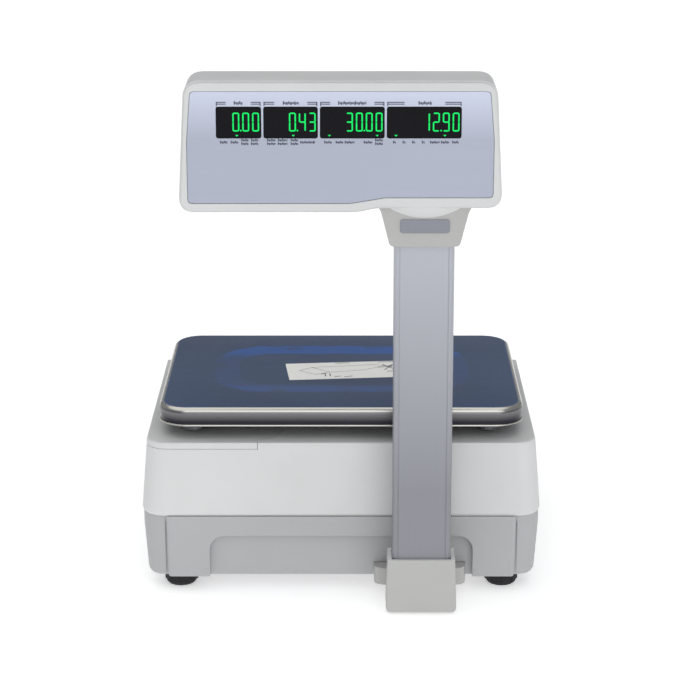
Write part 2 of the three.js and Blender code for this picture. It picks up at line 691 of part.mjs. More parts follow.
// ---- pole and bracket -----------------------------------------------------
function poleSocket() {
  const { halfTop, halfBottom, y0, y1, z0, z1, round } = SOCKET;
  const { x } = POLE;
  const front = new THREE.Shape();
  front.moveTo(x - halfBottom + round, z0);
  front.lineTo(x + halfBottom - round, z0);
  front.quadraticCurveTo(x + halfBottom, z0, x + halfBottom, z0 + round);
  front.lineTo(x + halfTop, z1);
  front.lineTo(x - halfTop, z1);
  front.lineTo(x - halfBottom, z0 + round);
  front.quadraticCurveTo(x - halfBottom, z0, x - halfBottom + round, z0);
  const plan = alongZ(rounded(x - halfBottom, x + halfBottom, y0, y1, 3), z0 - 1, z1 + 1);
  const cup = alongY(front, y0, y1).intersect(plan);
  const bore = block(
    x - POLE.half - GAP, x + POLE.half + GAP, POLE.y0 - GAP, POLE.y1 + GAP, POLE.bottom - GAP, z1 + 5);
  return cup.add(alongZ(tongueOutline(), TONGUE.z0, TONGUE.z1)).subtract(bore);
}

// The bracket's plate from above: full width under the housing, with rounded
// shoulders in front that run into the cup.
function tongueOutline() {
  const { half, yFront, yEnd, round } = TONGUE;
  const { x } = POLE;
  const root = SOCKET.halfTop - 1;
  const s = new THREE.Shape();
  s.moveTo(x - root, SOCKET.y1 - 1);
  s.lineTo(x + root, SOCKET.y1 - 1);
  s.lineTo(x + root, yFront);
  s.lineTo(x + half - round, yFront + 1);
  s.quadraticCurveTo(x + half, yFront + 2, x + half, yFront + round + 2);
  s.lineTo(x + half, yEnd);
  s.lineTo(x - half, yEnd);
  s.lineTo(x - half, yFront + round + 2);
  s.quadraticCurveTo(x - half, yFront + 2, x - half + round, yFront + 1);
  s.lineTo(x - root, yFront);
  return s;
}

function pole() {
  const { x, y0, y1, half, wall, bottom, top } = POLE;
  const hollow = rounded(x - half + wall, x + half - wall, y0 + wall, y1 - wall, 2);
  let body = alongZ(rounded(x - half, x + half, y0, y1, 4), bottom, top);
  body = body.subtract(alongZ(hollow, bottom - 2, top + 2));
  for (const side of [-1, 1]) {
    const channelX = x + side * (half - wall - 2.5);
    body = body.add(rod('z', 3.4, bottom, top, channelX, POLE.y, 12));
    body = body.subtract(rod('z', 1.7, bottom - 2, top + 2, channelX, POLE.y, 8));
    for (const y of [y0, y1]) {
      const u = x + side * (half - 5.5);
      body = body.subtract(block(u - 0.5, u + 0.5, y - 0.7, y + 0.7, bottom - 2, top + 2));
    }
  }
  return body;
}

function headCable() {
  const path = new THREE.CatmullRomCurve3([
    [POLE.x, POLE.y, 20], [POLE.x + 4, POLE.y, 130], [POLE.x - 4, POLE.y, 260], [POLE.x, POLE.y, 418],
  ].map((p) => new THREE.Vector3(...p)));
  const section = new THREE.Shape();
  section.absarc(0, 0, 3.5, 0, 2 * Math.PI);
  return solid(new THREE.ExtrudeGeometry(section, {
    steps: 16, curveSegments: 4, extrudePath: path, bevelEnabled: false,
  }));
}

// ---- display head ---------------------------------------------------------
// Outline of the head in XZ with its neck, grown outward by d; the step is the
// small rise of the lower edge from the left part to the right part.
function headOutline(d) {
  const { halfBottom, halfTop, z0, z1, step, stepX0, stepX1, cornerTop, cornerBottom } = HEAD;
  const s = new THREE.Shape();
  const rt = cornerTop + d;
  const rb = cornerBottom + d;
  s.moveTo(-halfBottom - d + rb, z0 - d);
  s.lineTo(stepX0, z0 - d);
  s.bezierCurveTo((stepX0 + stepX1) / 2, z0 - d, (stepX0 + stepX1) / 2, z0 + step - d, stepX1, z0 + step - d);
  s.lineTo(halfBottom + d - rb, z0 + step - d);
  s.quadraticCurveTo(halfBottom + d, z0 + step - d, halfBottom + d, z0 + step - d + rb);
  s.lineTo(halfTop + d, z1 + d - rt);
  s.quadraticCurveTo(halfTop + d, z1 + d, halfTop + d - rt, z1 + d);
  s.lineTo(-halfTop - d + rt, z1 + d);
  s.quadraticCurveTo(-halfTop - d, z1 + d, -halfTop - d, z1 + d - rt);
  s.lineTo(-halfBottom - d, z0 - d + rb);
  s.quadraticCurveTo(-halfBottom - d, z0 - d, -halfBottom - d + rb, z0 - d);
  return s;
}

function neckOutline(d) {
  const x = POLE.x;
  const { z, halfBottom, halfTop, round, fillet } = NECK;
  const top = HEAD.z0 + HEAD.step + 3;
  const s = new THREE.Shape();
  s.moveTo(x - halfBottom - d + round, z - d);
  s.lineTo(x + halfBottom + d - round, z - d);
  s.quadraticCurveTo(x + halfBottom + d, z - d, x + halfBottom + d + 0.8, z - d + round);
  s.lineTo(x + halfTop + d - 2, top - fillet - 4);
  s.quadraticCurveTo(x + halfTop + d, top - 3, x + halfTop + fillet + d, top);
  s.lineTo(x - halfTop - fillet - d, top);
  s.quadraticCurveTo(x - halfTop - d, top - 3, x - halfTop - d + 2, top - fillet - 4);
  s.lineTo(x - halfBottom - d - 0.8, z - d + round);
  s.quadraticCurveTo(x - halfBottom - d, z - d, x - halfBottom - d + round, z - d);
  return s;
}

function panelOutline(d) {
  const { halfBottom, halfTop, z0, z1 } = PANEL;
  const { stepX0, stepX1 } = HEAD;
  const rise = 5.5;
  const s = new THREE.Shape();
  s.moveTo(-halfBottom - d + 4, z0 - d);
  s.lineTo(stepX0, z0 - d);
  s.bezierCurveTo((stepX0 + stepX1) / 2, z0 - d, (stepX0 + stepX1) / 2, z0 + rise - d, stepX1, z0 + rise - d);
  s.lineTo(halfBottom + d - 4, z0 + rise - d);
  s.quadraticCurveTo(halfBottom + d, z0 + rise - d, halfBottom + d, z0 + rise + 4);
  s.quadraticCurveTo(halfBottom + 2 + d, (z0 + z1) / 2 + 10, halfTop + d, z1 - 4);
  s.quadraticCurveTo(halfTop + d, z1 + d, halfTop + d - 4, z1 + d);
  s.lineTo(-halfTop - d + 4, z1 + d);
  s.quadraticCurveTo(-halfTop - d, z1 + d, -halfTop - d, z1 - 4);
  s.quadraticCurveTo(-halfBottom - 2 - d, (z0 + z1) / 2 + 10, -halfBottom - d, z0 + 4);
  s.quadraticCurveTo(-halfBottom - d, z0 - d, -halfBottom - d + 4, z0 - d);
  return s;
}

// The facet that leads from the neck's face out to the bezel: part of a wide drum
// whose axis leans forward, so that the neck's face cuts it in a shallow arc.
function saddle(side) {
  const { halfWidth, rise, proud } = SADDLE;
  const face = side < 0 ? NECK.y0 : NECK.y1;
  const top = HEAD.z0 + HEAD.step + 2;
  const lean = Math.atan2(proud, rise);
  const sagitta = rise * Math.sin(lean);
  const r = (halfWidth ** 2 + sagitta ** 2) / (2 * sagitta);
  const drum = new THREE.CylinderGeometry(r, r, 80, 96);
  drum.rotateX(Math.PI / 2);
  drum.translate(0, -side * r, 0);
  drum.applyMatrix4(new THREE.Matrix4().makeTranslation(POLE.x, face, top - rise)
    .multiply(new THREE.Matrix4().makeRotationX(-side * lean)));
  const near = face + side * proud;
  const zone = block(POLE.x - halfWidth - 4, POLE.x + halfWidth + 4,
    Math.min(near, face - side * 2), Math.max(near, face - side * 2), top - rise - 2, top);
  return solid(drum).intersect(zone);
}

// One half of the head. side is -1 for the customer's half and 1 for the operator's.
function headShell(side) {
  const face = side < 0 ? HEAD.y0 : HEAD.y1;
  const split = HEAD.split + side * (GAP / 2);
  const [a, b] = side < 0 ? [face, split] : [split, face];
  const inFrom = side < 0 ? face + WALL + 1 : split - 2;
  const inTo = side < 0 ? split + 2 : face - WALL - 1;
  const rim = side < 0 ? [face + 3, split] : [split, face - 3];
  const neckFace = side < 0 ? NECK.y0 : NECK.y1;
  const neckSpan = side < 0 ? [neckFace, split] : [split, neckFace];
  let body = join(
    alongY(headOutline(0), ...rim, 6), alongY(headOutline(-2), a, b, 6),
    alongY(neckOutline(0), ...neckSpan, 5), saddle(side),
  );
  body = body.subtract(alongY(headOutline(-WALL), inFrom, inTo, 4));
  const poleHole = block(
    POLE.x - POLE.half - GAP, POLE.x + POLE.half + GAP, POLE.y0 - GAP, POLE.y1 + GAP,
    NECK.z - 5, POLE.top + 8);
  body = body.subtract(poleHole);
  const [p, q] = side < 0 ? [face - 1, face + PANEL.deep] : [face - PANEL.deep, face + 1];
  body = body.subtract(alongY(panelOutline(GAP), p, q, 2));
  for (const [x0, x1] of WINDOW.edges) {
    const [w0, w1] = side < 0 ? [x0, x1] : [-x1, -x0];
    body = body.subtract(block(w0 - 2, w1 + 2, face - 8, face + 8, WINDOW.z0 - 2, WINDOW.z1 + 2));
  }
  return body;
}

function fascia(side) {
  const face = side < 0 ? HEAD.y0 : HEAD.y1;
  const [p, q] = side < 0 ? [face + 0.5, face + PANEL.deep - GAP] : [face - PANEL.deep + GAP, face - 0.5];
  let body = alongY(panelOutline(0), p, q, 2);
  for (const [x0, x1] of WINDOW.edges) {
    const [w0, w1] = side < 0 ? [x0, x1] : [-x1, -x0];
    body = body.subtract(alongY(rounded(w0, w1, WINDOW.z0, WINDOW.z1, 2), p - 2, q + 2, 1));
  }
  return body;
}

function displayWindow(side, index) {
  const face = side < 0 ? HEAD.y0 : HEAD.y1;
  const [x0, x1] = WINDOW.edges[index];
  const [w0, w1] = side < 0 ? [x0, x1] : [-x1, -x0];
  const [p, q] = side < 0 ? [face + 0.9, face + 3.5] : [face - 3.5, face - 0.9];
  return alongY(rounded(w0 + GAP, w1 - GAP, WINDOW.z0 + GAP, WINDOW.z1 - GAP, 1.8), p, q, 1);
}

function displayBoard() {
  return join(
    block(-125, 125, HEAD.split - 1, HEAD.split + 1, 440, 524),
    block(-118, 116, HEAD.split - 9, HEAD.split, 486, 516),
    block(-116, 118, HEAD.split, HEAD.split + 9, 486, 516),
  );
}

function neckBadge() {
  const { half, z0, z1, round } = BADGE;
  return alongY(rounded(POLE.x - half, POLE.x + half, z0, z1, round), NECK.y0 - 1.2, NECK.y0 - 0.3);
}

// ---- assembly -------------------------------------------------------------
const sideHoles = [
  sideCut(SIDE.inletY - 14.5, SIDE.inletY + 14.5, SIDE.z - 10.5, SIDE.z + 10.5),
  sideCut(SIDE.switchY - 8.4, SIDE.switchY + 8.4, SIDE.z - 12.4, SIDE.z + 12.4),
  sideCut(SIDE.portY0, SIDE.portY1, SIDE.z - 12.4, SIDE.z + 12.4),
];

piece('upper_housing', upperHousing(), shellPlastic);
piece('label_lid', labelLid(), shellPlastic);
piece('lower_base', sideHoles.reduce((a, b) => a.subtract(b), lowerBase()), basePlastic);
const footNames = ['rear_left', 'rear_right', 'front_left', 'front_right'];
footPlaces().forEach(([x, y], i) => {
  piece(`foot_stud_${footNames[i]}`, footStud(x, y), steel);
  piece(`foot_pad_${footNames[i]}`, footPad(x, y), blackRubber);
});
piece('weighing_pan', weighingPan(), steel);
piece('platform_spider', platformSpider(), aluminium);
PAD_PLACES.forEach(([x, y], i) => piece(`pan_pad_${footNames[i]}`, panPad(x, y), blackRubber));
piece('platform_post', platformPost(), aluminium);
piece('load_cell', loadCell(), aluminium);
piece('load_cell_mount', loadCellMount(), aluminium);
piece('printer_frame', printerFrame(), steel);
piece('platen_roller', platenRoller(), blackRubber);
piece('idler_gear', idlerGear(), whitePlastic);
piece('motor_pinion', motorPinion(), whitePlastic);
piece('drive_motor', driveMotor(), steel);
piece('rewind_spool', rewindSpool(), darkPlastic);
piece('roll_spindle', rollSpindle(), darkPlastic);
piece('label_roll', labelRoll(), paper);
piece('print_head', printHead(), aluminium);
piece('head_shaft', headShaft(), steel);
piece('head_lever', headLever(), greyPlastic);
piece('peel_bar', peelBar(), steel);
piece('label_outlet', labelOutlet(), darkPlastic);
piece('main_board', mainBoard(), greenBoard);
piece('power_supply', powerSupply(), steel);
piece('mains_inlet', mainsInlet(), darkPlastic);
piece('switch_frame', switchFrame(), darkPlastic);
piece('power_rocker', powerRocker(), darkPlastic);
piece('port_panel', portPanel(), steel);
piece('keypad_panel', keypadPanel(), whitePlastic);
piece('level_body', levelBody(), whitePlastic);
piece('level_vial', levelVial(), levelLiquid);
piece('pole_socket', poleSocket(), shellPlastic);
piece('pole', pole(), aluminium);
piece('head_cable', headCable(), darkPlastic);
piece('head_customer_shell', headShell(-1), shellPlastic);
piece('head_operator_shell', headShell(1), shellPlastic);
piece('customer_panel', fascia(-1), panelSilver);
piece('operator_panel', fascia(1), panelSilver);
for (const i of [0, 1, 2, 3]) {
  piece(`customer_window_${i + 1}`, displayWindow(-1, i), smokedWindow);
  piece(`operator_window_${i + 1}`, displayWindow(1, i), smokedWindow);
}
piece('display_board', displayBoard(), greenBoard);
piece('neck_badge', neckBadge(), greyPlastic);

export default scale;
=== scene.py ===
"""Looks of a label-printing price scale with a pole display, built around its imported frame."""

import json
import math
from functools import cache

import bmesh
import bpy
from mathutils import Matrix, Vector


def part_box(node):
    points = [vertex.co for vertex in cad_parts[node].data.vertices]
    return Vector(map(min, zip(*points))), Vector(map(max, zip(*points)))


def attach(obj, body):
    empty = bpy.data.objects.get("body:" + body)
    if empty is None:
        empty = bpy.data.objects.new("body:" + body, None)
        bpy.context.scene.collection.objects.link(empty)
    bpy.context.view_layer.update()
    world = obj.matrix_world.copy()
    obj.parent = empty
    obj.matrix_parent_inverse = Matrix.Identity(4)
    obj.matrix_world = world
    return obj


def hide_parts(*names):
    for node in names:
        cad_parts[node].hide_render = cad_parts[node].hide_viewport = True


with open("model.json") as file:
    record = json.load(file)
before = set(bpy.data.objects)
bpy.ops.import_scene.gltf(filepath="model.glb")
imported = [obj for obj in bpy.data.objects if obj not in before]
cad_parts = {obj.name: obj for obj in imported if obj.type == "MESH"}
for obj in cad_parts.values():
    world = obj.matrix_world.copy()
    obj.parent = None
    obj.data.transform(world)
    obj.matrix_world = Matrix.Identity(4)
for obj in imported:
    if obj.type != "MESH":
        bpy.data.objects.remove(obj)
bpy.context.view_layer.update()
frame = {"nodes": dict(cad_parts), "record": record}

bl_info = {
    "name": "Price Scale",
    "version": (1, 0, 0),
    "blender": (4, 5, 0),
    "location": "3D View > Sidebar > Scale",
    "description": "Builds the finished surfaces of a retail price scale around its frame",
    "category": "Object",
}

MM = 0.001


# ---- places taken from the frame ---------------------------------------------
def body_of_node(node):
    for body, nodes in frame["record"]["behaviour"]["bodies"].items():
        if node in nodes:
            return body
    raise RuntimeError(f"{node} is in no body")


PAN_LOW, PAN_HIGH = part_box("weighing_pan")
POLE_LOW, POLE_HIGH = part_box("pole")
FACE_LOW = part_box("customer_panel")[0]
HEAD_MIDDLE = (FACE_LOW.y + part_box("operator_panel")[1].y) / 2
LEG_FACE = -183 * MM  # the customer's side of the base's legs


# ---- selection and mesh helpers ------------------------------------------------
def select_only(piece):
    if bpy.context.object and bpy.context.object.mode != "OBJECT":
        bpy.ops.object.mode_set(mode="OBJECT")
    bpy.ops.object.select_all(action="DESELECT")
    piece.select_set(True)
    bpy.context.view_layer.objects.active = piece


def settle(piece):
    """Puts the object's own place into its mesh, so the object stands unturned at the origin."""
    select_only(piece)
    bpy.ops.object.transform_apply(location=True, rotation=True, scale=True)
    return piece


def apply_modifiers(piece):
    select_only(piece)
    for modifier in list(piece.modifiers):
        bpy.ops.object.modifier_apply(modifier=modifier.name)
    return piece


def bevelled(piece, width, segments=3, angle=30):
    modifier = piece.modifiers.new("Edge rounding", "BEVEL")
    modifier.width = width
    modifier.segments = segments
    modifier.limit_method = "ANGLE"
    modifier.angle_limit = math.radians(angle)
    return apply_modifiers(piece)


def thickened(piece, thickness, offset=-1):
    """A sheet given a thickness, behind its surface or, with an offset of 1, in front of it."""
    wall = piece.modifiers.new("Sheet", "SOLIDIFY")
    wall.thickness = thickness
    wall.offset = offset
    return apply_modifiers(piece)


def smooth(piece, angle=35):
    select_only(piece)
    bpy.ops.object.shade_smooth_by_angle(angle=math.radians(angle))
    return piece


def edit(piece, mode="FACE"):
    select_only(piece)
    bpy.ops.object.mode_set(mode="EDIT")
    bpy.ops.mesh.select_mode(type=mode)
    return bmesh.from_edit_mesh(piece.data)


def edit_all(piece, mode="FACE"):
    edit(piece, mode)
    bpy.ops.mesh.select_all(action="SELECT")


def leave_edit():
    bpy.ops.object.mode_set(mode="OBJECT")


def choose(piece, test, mode="FACE"):
    """Selects, in edit mode, the faces, edges or vertices that pass a test."""
    mesh = edit(piece, mode)
    bpy.ops.mesh.select_all(action="DESELECT")
    group = {"FACE": mesh.faces, "EDGE": mesh.edges, "VERT": mesh.verts}[mode]
    for item in group:
        if test(item):
            item.select_set(True)
    mesh.select_flush_mode()
    bmesh.update_edit_mesh(piece.data)


def refinish(piece, material):
    piece.data.materials.clear()
    piece.data.materials.append(material)


def finish_piece(piece, name, body, material, replaces=()):
    piece.name = name
    piece.data.name = name
    refinish(piece, material)
    if replaces:
        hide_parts(*replaces)
    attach(piece, body)
    return piece


def slot_of(node):
    for row in frame["record"]["subparts"]:
        if row["node"] == node:
            return row["material_slot"]
    raise RuntimeError(f"{node} has no material slot")


def added(primitive, **values):
    """The object that a primitive's operator adds, with nothing else selected."""
    bpy.ops.object.select_all(action="DESELECT")
    primitive(**values)
    return bpy.context.object


def block(low, high):
    """A box primitive from its lowest to its highest corner."""
    low, high = Vector(low), Vector(high)
    piece = added(bpy.ops.mesh.primitive_cube_add, size=1, location=(low + high) / 2)
    piece.scale = high - low
    return settle(piece)


def drum(radius, low, high, centre, sides=48):
    """A cylinder primitive along Y, from low to high, around a centre given in X and Z."""
    place = (centre[0], (low + high) / 2, centre[1])
    return settle(added(bpy.ops.mesh.primitive_cylinder_add, vertices=sides, radius=radius,
                        depth=high - low, location=place, rotation=(math.pi / 2, 0, 0)))


def joined(pieces):
    select_only(pieces[0])
    for piece in pieces[1:]:
        piece.select_set(True)
    bpy.ops.object.join()
    return bpy.context.object


def copied(piece, offset=(0, 0, 0), turn=None):
    twin = piece.copy()
    twin.data = piece.data.copy()
    bpy.context.scene.collection.objects.link(twin)
    if turn is not None:
        twin.data.transform(turn)
    twin.data.transform(Matrix.Translation(offset))
    return twin


def refined(node, name, width, segments=3, angle=30, flat=0.4, shaped=None):
    """A fine copy of a moulded part: merged, its flat facets joined, shaped, and its edges rounded."""
    source = frame["nodes"][node]
    piece = bpy.data.objects.new(name, source.data.copy())
    bpy.context.scene.collection.objects.link(piece)
    edit_all(piece, "VERT")
    bpy.ops.mesh.remove_doubles(threshold=0.00001)
    bpy.ops.mesh.dissolve_limited(angle_limit=math.radians(flat))
    leave_edit()
    if shaped:
        shaped(piece)
    bevelled(piece, width, segments, angle)
    smooth(piece, 40)
    flat_first = piece.modifiers.new("Flat faces first", "WEIGHTED_NORMAL")
    flat_first.keep_sharp = True
    return apply_modifiers(piece)


def tinted(piece, material, test):
    """Gives the faces that pass a test a second material."""
    piece.data.materials.append(material)
    choose(piece, test)
    piece.active_material_index = len(piece.data.materials) - 1
    bpy.ops.object.material_slot_assign()
    leave_edit()


# ---- shader helpers --------------------------------------------------------------
def srgb(red, green, blue):
    """A colour given as 0 to 255 screen values, as the linear values that shaders use."""
    def linear(value):
        value /= 255
        return value / 12.92 if value <= 0.04045 else ((value + 0.055) / 1.055) ** 2.4
    return (linear(red), linear(green), linear(blue), 1.0)


def add_node(tree, kind, sockets=None, **settings):
    """A shader node with its settings, and fixed values for some of its input sockets."""
    node = tree.nodes.new(kind)
    for key, value in settings.items():
        setattr(node, key, value)
    for socket, value in (sockets or {}).items():
        node.inputs[socket].default_value = value
    return node


def new_group(name, inputs, outputs):
    """A shader node group with named sockets: each input is (name, type, default)."""
    tree = bpy.data.node_groups.new(name, "ShaderNodeTree")
    for socket_name, kind, default in inputs:
        socket = tree.interface.new_socket(name=socket_name, in_out="INPUT", socket_type=kind)
        socket.default_value = default
    for socket_name, kind in outputs:
        tree.interface.new_socket(name=socket_name, in_out="OUTPUT", socket_type=kind)
    return tree, tree.nodes.new("NodeGroupInput"), tree.nodes.new("NodeGroupOutput")


FLOAT, VECTOR = "NodeSocketFloat", "NodeSocketVector"


@cache
def mould_grain():
    """Fine moulded grain, with broad soft patches where the surface has been handled."""
    tree, given, result = new_group(
        "Mould grain",
        [("Grain Scale", FLOAT, 2600.0), ("Patch Scale", FLOAT, 9.0)],
        [("Grain", FLOAT), ("Patch", FLOAT), ("Speck", FLOAT)],
    )
    place = add_node(tree, "ShaderNodeTexCoord")
    grain = add_node(tree, "ShaderNodeTexNoise", {"Detail": 3})
    patch = add_node(tree, "ShaderNodeTexNoise", {"Detail": 4, "Roughness": 0.6})
    speck = add_node(tree, "ShaderNodeTexVoronoi", {"Scale": 150})
    spots = add_node(tree, "ShaderNodeMapRange", {"From Min": 0.05, "From Max": 0.0})
    links = tree.links
    for texture in (grain, patch, speck):
        links.new(place.outputs["Object"], texture.inputs["Vector"])
    links.new(given.outputs["Grain Scale"], grain.inputs["Scale"])
    links.new(given.outputs["Patch Scale"], patch.inputs["Scale"])
    links.new(speck.outputs["Distance"], spots.inputs["Value"])
    links.new(grain.outputs["Fac"], result.inputs["Grain"])
    links.new(patch.outputs["Fac"], result.inputs["Patch"])
    links.new(spots.outputs["Result"], result.inputs["Speck"])
    return tree


@cache
def brushed_lines():
    """Long fine lines along one axis, as brushing or rolling leaves them."""
    tree, given, result = new_group(
        "Brushed lines",
        [("Stretch", VECTOR, (8.0, 1200.0, 1200.0)), ("Cloud Scale", FLOAT, 7.0)],
        [("Lines", FLOAT), ("Cloud", FLOAT)],
    )
    place = add_node(tree, "ShaderNodeTexCoord")
    stretch = add_node(tree, "ShaderNodeVectorMath", operation="MULTIPLY")
    lines = add_node(tree, "ShaderNodeTexNoise", {"Scale": 1, "Detail": 4})
    cloud = add_node(tree, "ShaderNodeTexNoise", {"Detail": 3})
    links = tree.links
    links.new(place.outputs["Object"], stretch.inputs[0])
    links.new(given.outputs["Stretch"], stretch.inputs[1])
    links.new(stretch.outputs["Vector"], lines.inputs["Vector"])
    links.new(place.outputs["Object"], cloud.inputs["Vector"])
    links.new(given.outputs["Cloud Scale"], cloud.inputs["Scale"])
    links.new(lines.outputs["Fac"], result.inputs["Lines"])
    links.new(cloud.outputs["Fac"], result.inputs["Cloud"])
    return tree


def group_node(tree, group, **values):
    node = add_node(tree, "ShaderNodeGroup", node_tree=group())
    for key, value in values.items():
        node.inputs[key.replace("_", " ")].default_value = value
    return node


def mapped(tree, source, low, high, from_low=0.3, from_high=0.7):
    ends = {"From Min": from_low, "From Max": from_high, "To Min": low, "To Max": high}
    node = add_node(tree, "ShaderNodeMapRange", ends)
    tree.links.new(source, node.inputs["Value"])
    return node.outputs["Result"]


def blended(tree, factor, first, second):
    """A colour between two others, each one a socket or a fixed colour."""
    node = add_node(tree, "ShaderNodeMix", data_type="RGBA")
    tree.links.new(factor, node.inputs["Factor"])
    for socket, value in ((node.inputs["A"], first), (node.inputs["B"], second)):
        if isinstance(value, bpy.types.NodeSocket):
            tree.links.new(value, socket)
        else:
            socket.default_value = value
    return node.outputs["Result"]


def by_height(tree, low, high):
    """Rises from 0 to 1 between two heights of the object."""
    place = add_node(tree, "ShaderNodeTexCoord")
    split = add_node(tree, "ShaderNodeSeparateXYZ")
    tree.links.new(place.outputs["Object"], split.inputs["Vector"])
    return mapped(tree, split.outputs["Z"], 0.0, 1.0, low, high)


def bumped(tree, shader, height, distance, strength=0.5):
    node = add_node(tree, "ShaderNodeBump", {"Strength": strength, "Distance": distance})
    tree.links.new(height, node.inputs["Height"])
    tree.links.new(node.outputs["Normal"], shader.inputs["Normal"])


def new_material(name, **values):
    material = bpy.data.materials.new(name)
    material.use_nodes = True
    shader = material.node_tree.nodes["Principled BSDF"]
    for key, value in values.items():
        shader.inputs[key.replace("_", " ")].default_value = value
    return material, material.node_tree, shader


def shade(colour, factor):
    return tuple(channel * factor for channel in colour[:3]) + (1.0,)


@cache
def moulded(name, colour, roughness, grain=2600.0, depth=0.00004, spread=0.05, specular=0.5):
    """Moulded plastic with grain, slight tone patches and a roughness that varies with handling."""
    material, tree, shader = new_material(name, Specular_IOR_Level=specular)
    grained = group_node(tree, mould_grain, Grain_Scale=grain)
    tone = mapped(tree, grained.outputs["Patch"], 0.0, 1.0)
    colour_out = blended(tree, tone, shade(colour, 1 - spread), shade(colour, 1 + spread * 0.4))
    dust = mapped(tree, grained.outputs["Speck"], 0.0, 0.25, 0, 1)
    dusty = blended(tree, dust, colour_out, shade(colour, 0.6))
    tree.links.new(dusty, shader.inputs["Base Color"])
    rough = mapped(tree, grained.outputs["Patch"], roughness - 0.06, roughness + 0.08)
    tree.links.new(rough, shader.inputs["Roughness"])
    bumped(tree, shader, grained.outputs["Grain"], depth)
    return material


@cache
def metal(name, colour, roughness, stretch=(8.0, 1200.0, 1200.0), depth=0.00002, metallic=1.0, spread=0.1,
          upper=None, heights=(0, 1)):
    """Brushed, rolled or cast metal with lines along one axis; its tone may change to upper with height, a
    painted gradient of light and shade.
    """
    material, tree, shader = new_material(name, Metallic=metallic)
    brushed = group_node(tree, brushed_lines, Stretch=stretch)
    tone = mapped(tree, brushed.outputs["Lines"], 0.0, 1.0)
    lined = blended(tree, tone, shade(colour, 1 - spread), shade(colour, 1 + spread * 0.5))
    cloudy = blended(tree, mapped(tree, brushed.outputs["Cloud"], 0.0, 0.35), lined, shade(colour, 0.92))
    if upper:
        cloudy = blended(tree, by_height(tree, *heights), cloudy, upper)
    tree.links.new(cloudy, shader.inputs["Base Color"])
    tree.links.new(mapped(tree, brushed.outputs["Lines"], roughness - 0.07, roughness + 0.1),
                   shader.inputs["Roughness"])
    bumped(tree, shader, brushed.outputs["Lines"], depth, 0.35)
    return material


def shell_plastic():
    return moulded("Warm white shell plastic", tuple(scene_colours().shell) + (1.0,), 0.42)


# The pole bracket's own grey; on the neck of the head shell the same darker colour is painted shade.
def mount_plastic_and_neck_shade():
    return moulded("Grey white mount plastic and painted neck shade", tuple(scene_colours().mount) + (1.0,), 0.46)


def base_plastic():
    return moulded("Pale grey base plastic", tuple(scene_colours().base) + (1.0,), 0.48, spread=0.04)


def black_rubber():
    return moulded("Black foot rubber", srgb(30, 30, 34), 0.72, grain=1400.0, depth=0.0001, spread=0.25)


def dark_plastic():
    return moulded("Dark fitting plastic", srgb(44, 45, 48), 0.45, spread=0.12)


def white_plastic():
    return moulded("Natural white nylon", srgb(232, 230, 218), 0.4)


def steel():
    return metal("Zinc plated steel", srgb(186, 188, 190), 0.3, (300.0, 300.0, 20.0), spread=0.15)


def stainless():
    return metal("Stainless pan sheet", srgb(196, 194, 188), 0.24, (6.0, 1500.0, 1500.0))


# Painted shade: the skirt's steel is dark and grows lighter towards its top under the shoulder, as a painted
# highlight.
def painted_shade_skirt_steel():
    return metal("Shaded skirt steel", srgb(50, 49, 57), 0.3, (6.0, 1500.0, 1500.0), spread=0.16,
                 upper=srgb(138, 136, 138), heights=(0.181, 0.193))


def cast_aluminium():
    return metal("Cast aluminium", srgb(128, 130, 134), 0.45, (260.0, 260.0, 260.0), depth=0.00005)


def pole_aluminium():
    # Painted reflection: the pole's colour grows lighter towards its top.
    colour = tuple(scene_colours().pole) + (1.0,)
    return metal("Anodised pole aluminium", colour, 0.42, (900.0, 900.0, 5.0), metallic=0.45, spread=0.05,
                 upper=shade(colour, 1.8), heights=(0.13, 0.40))


def panel_silver():
    # Painted highlight: the panel's colour grows lighter towards its top.
    colour = tuple(scene_colours().panel) + (1.0,)
    return metal("Silver display panel", colour, 0.4, (4.0, 900.0, 900.0), metallic=0.5, spread=0.04,
                 upper=shade(colour, 1.42), heights=(0.485, 0.53))


def smoked_window():
    return moulded("Smoked display window", srgb(13, 13, 19), 0.22, grain=90.0, depth=0.00001, spread=0.2,
                   specular=0.12)


def badge_grey():
    return metal("Grey neck badge", srgb(140, 143, 152), 0.42, (6.0, 900.0, 900.0), metallic=0.4, spread=0.06)


def ink():
    return moulded("Dark printing ink", srgb(34, 36, 62), 0.6, grain=900.0, spread=0.15)


def label_paper():
    return moulded("Coated label paper", srgb(250, 249, 244), 0.62, grain=1800.0, spread=0.04)


@cache
def digit_green():
    """Lit segments, a little brighter in random patches."""
    material, tree, shader = new_material(
        "Lit segment", Roughness=0.5, Emission_Strength=0.62, Specular_IOR_Level=0.1)
    grained = group_node(tree, mould_grain, Patch_Scale=240.0)
    colour = tuple(scene_colours().digits) + (1.0,)
    glow = blended(tree, mapped(tree, grained.outputs["Patch"], 0, 1), shade(colour, 0.82), colour)
    tree.links.new(glow, shader.inputs["Emission Color"])
    tree.links.new(glow, shader.inputs["Base Color"])
    return material


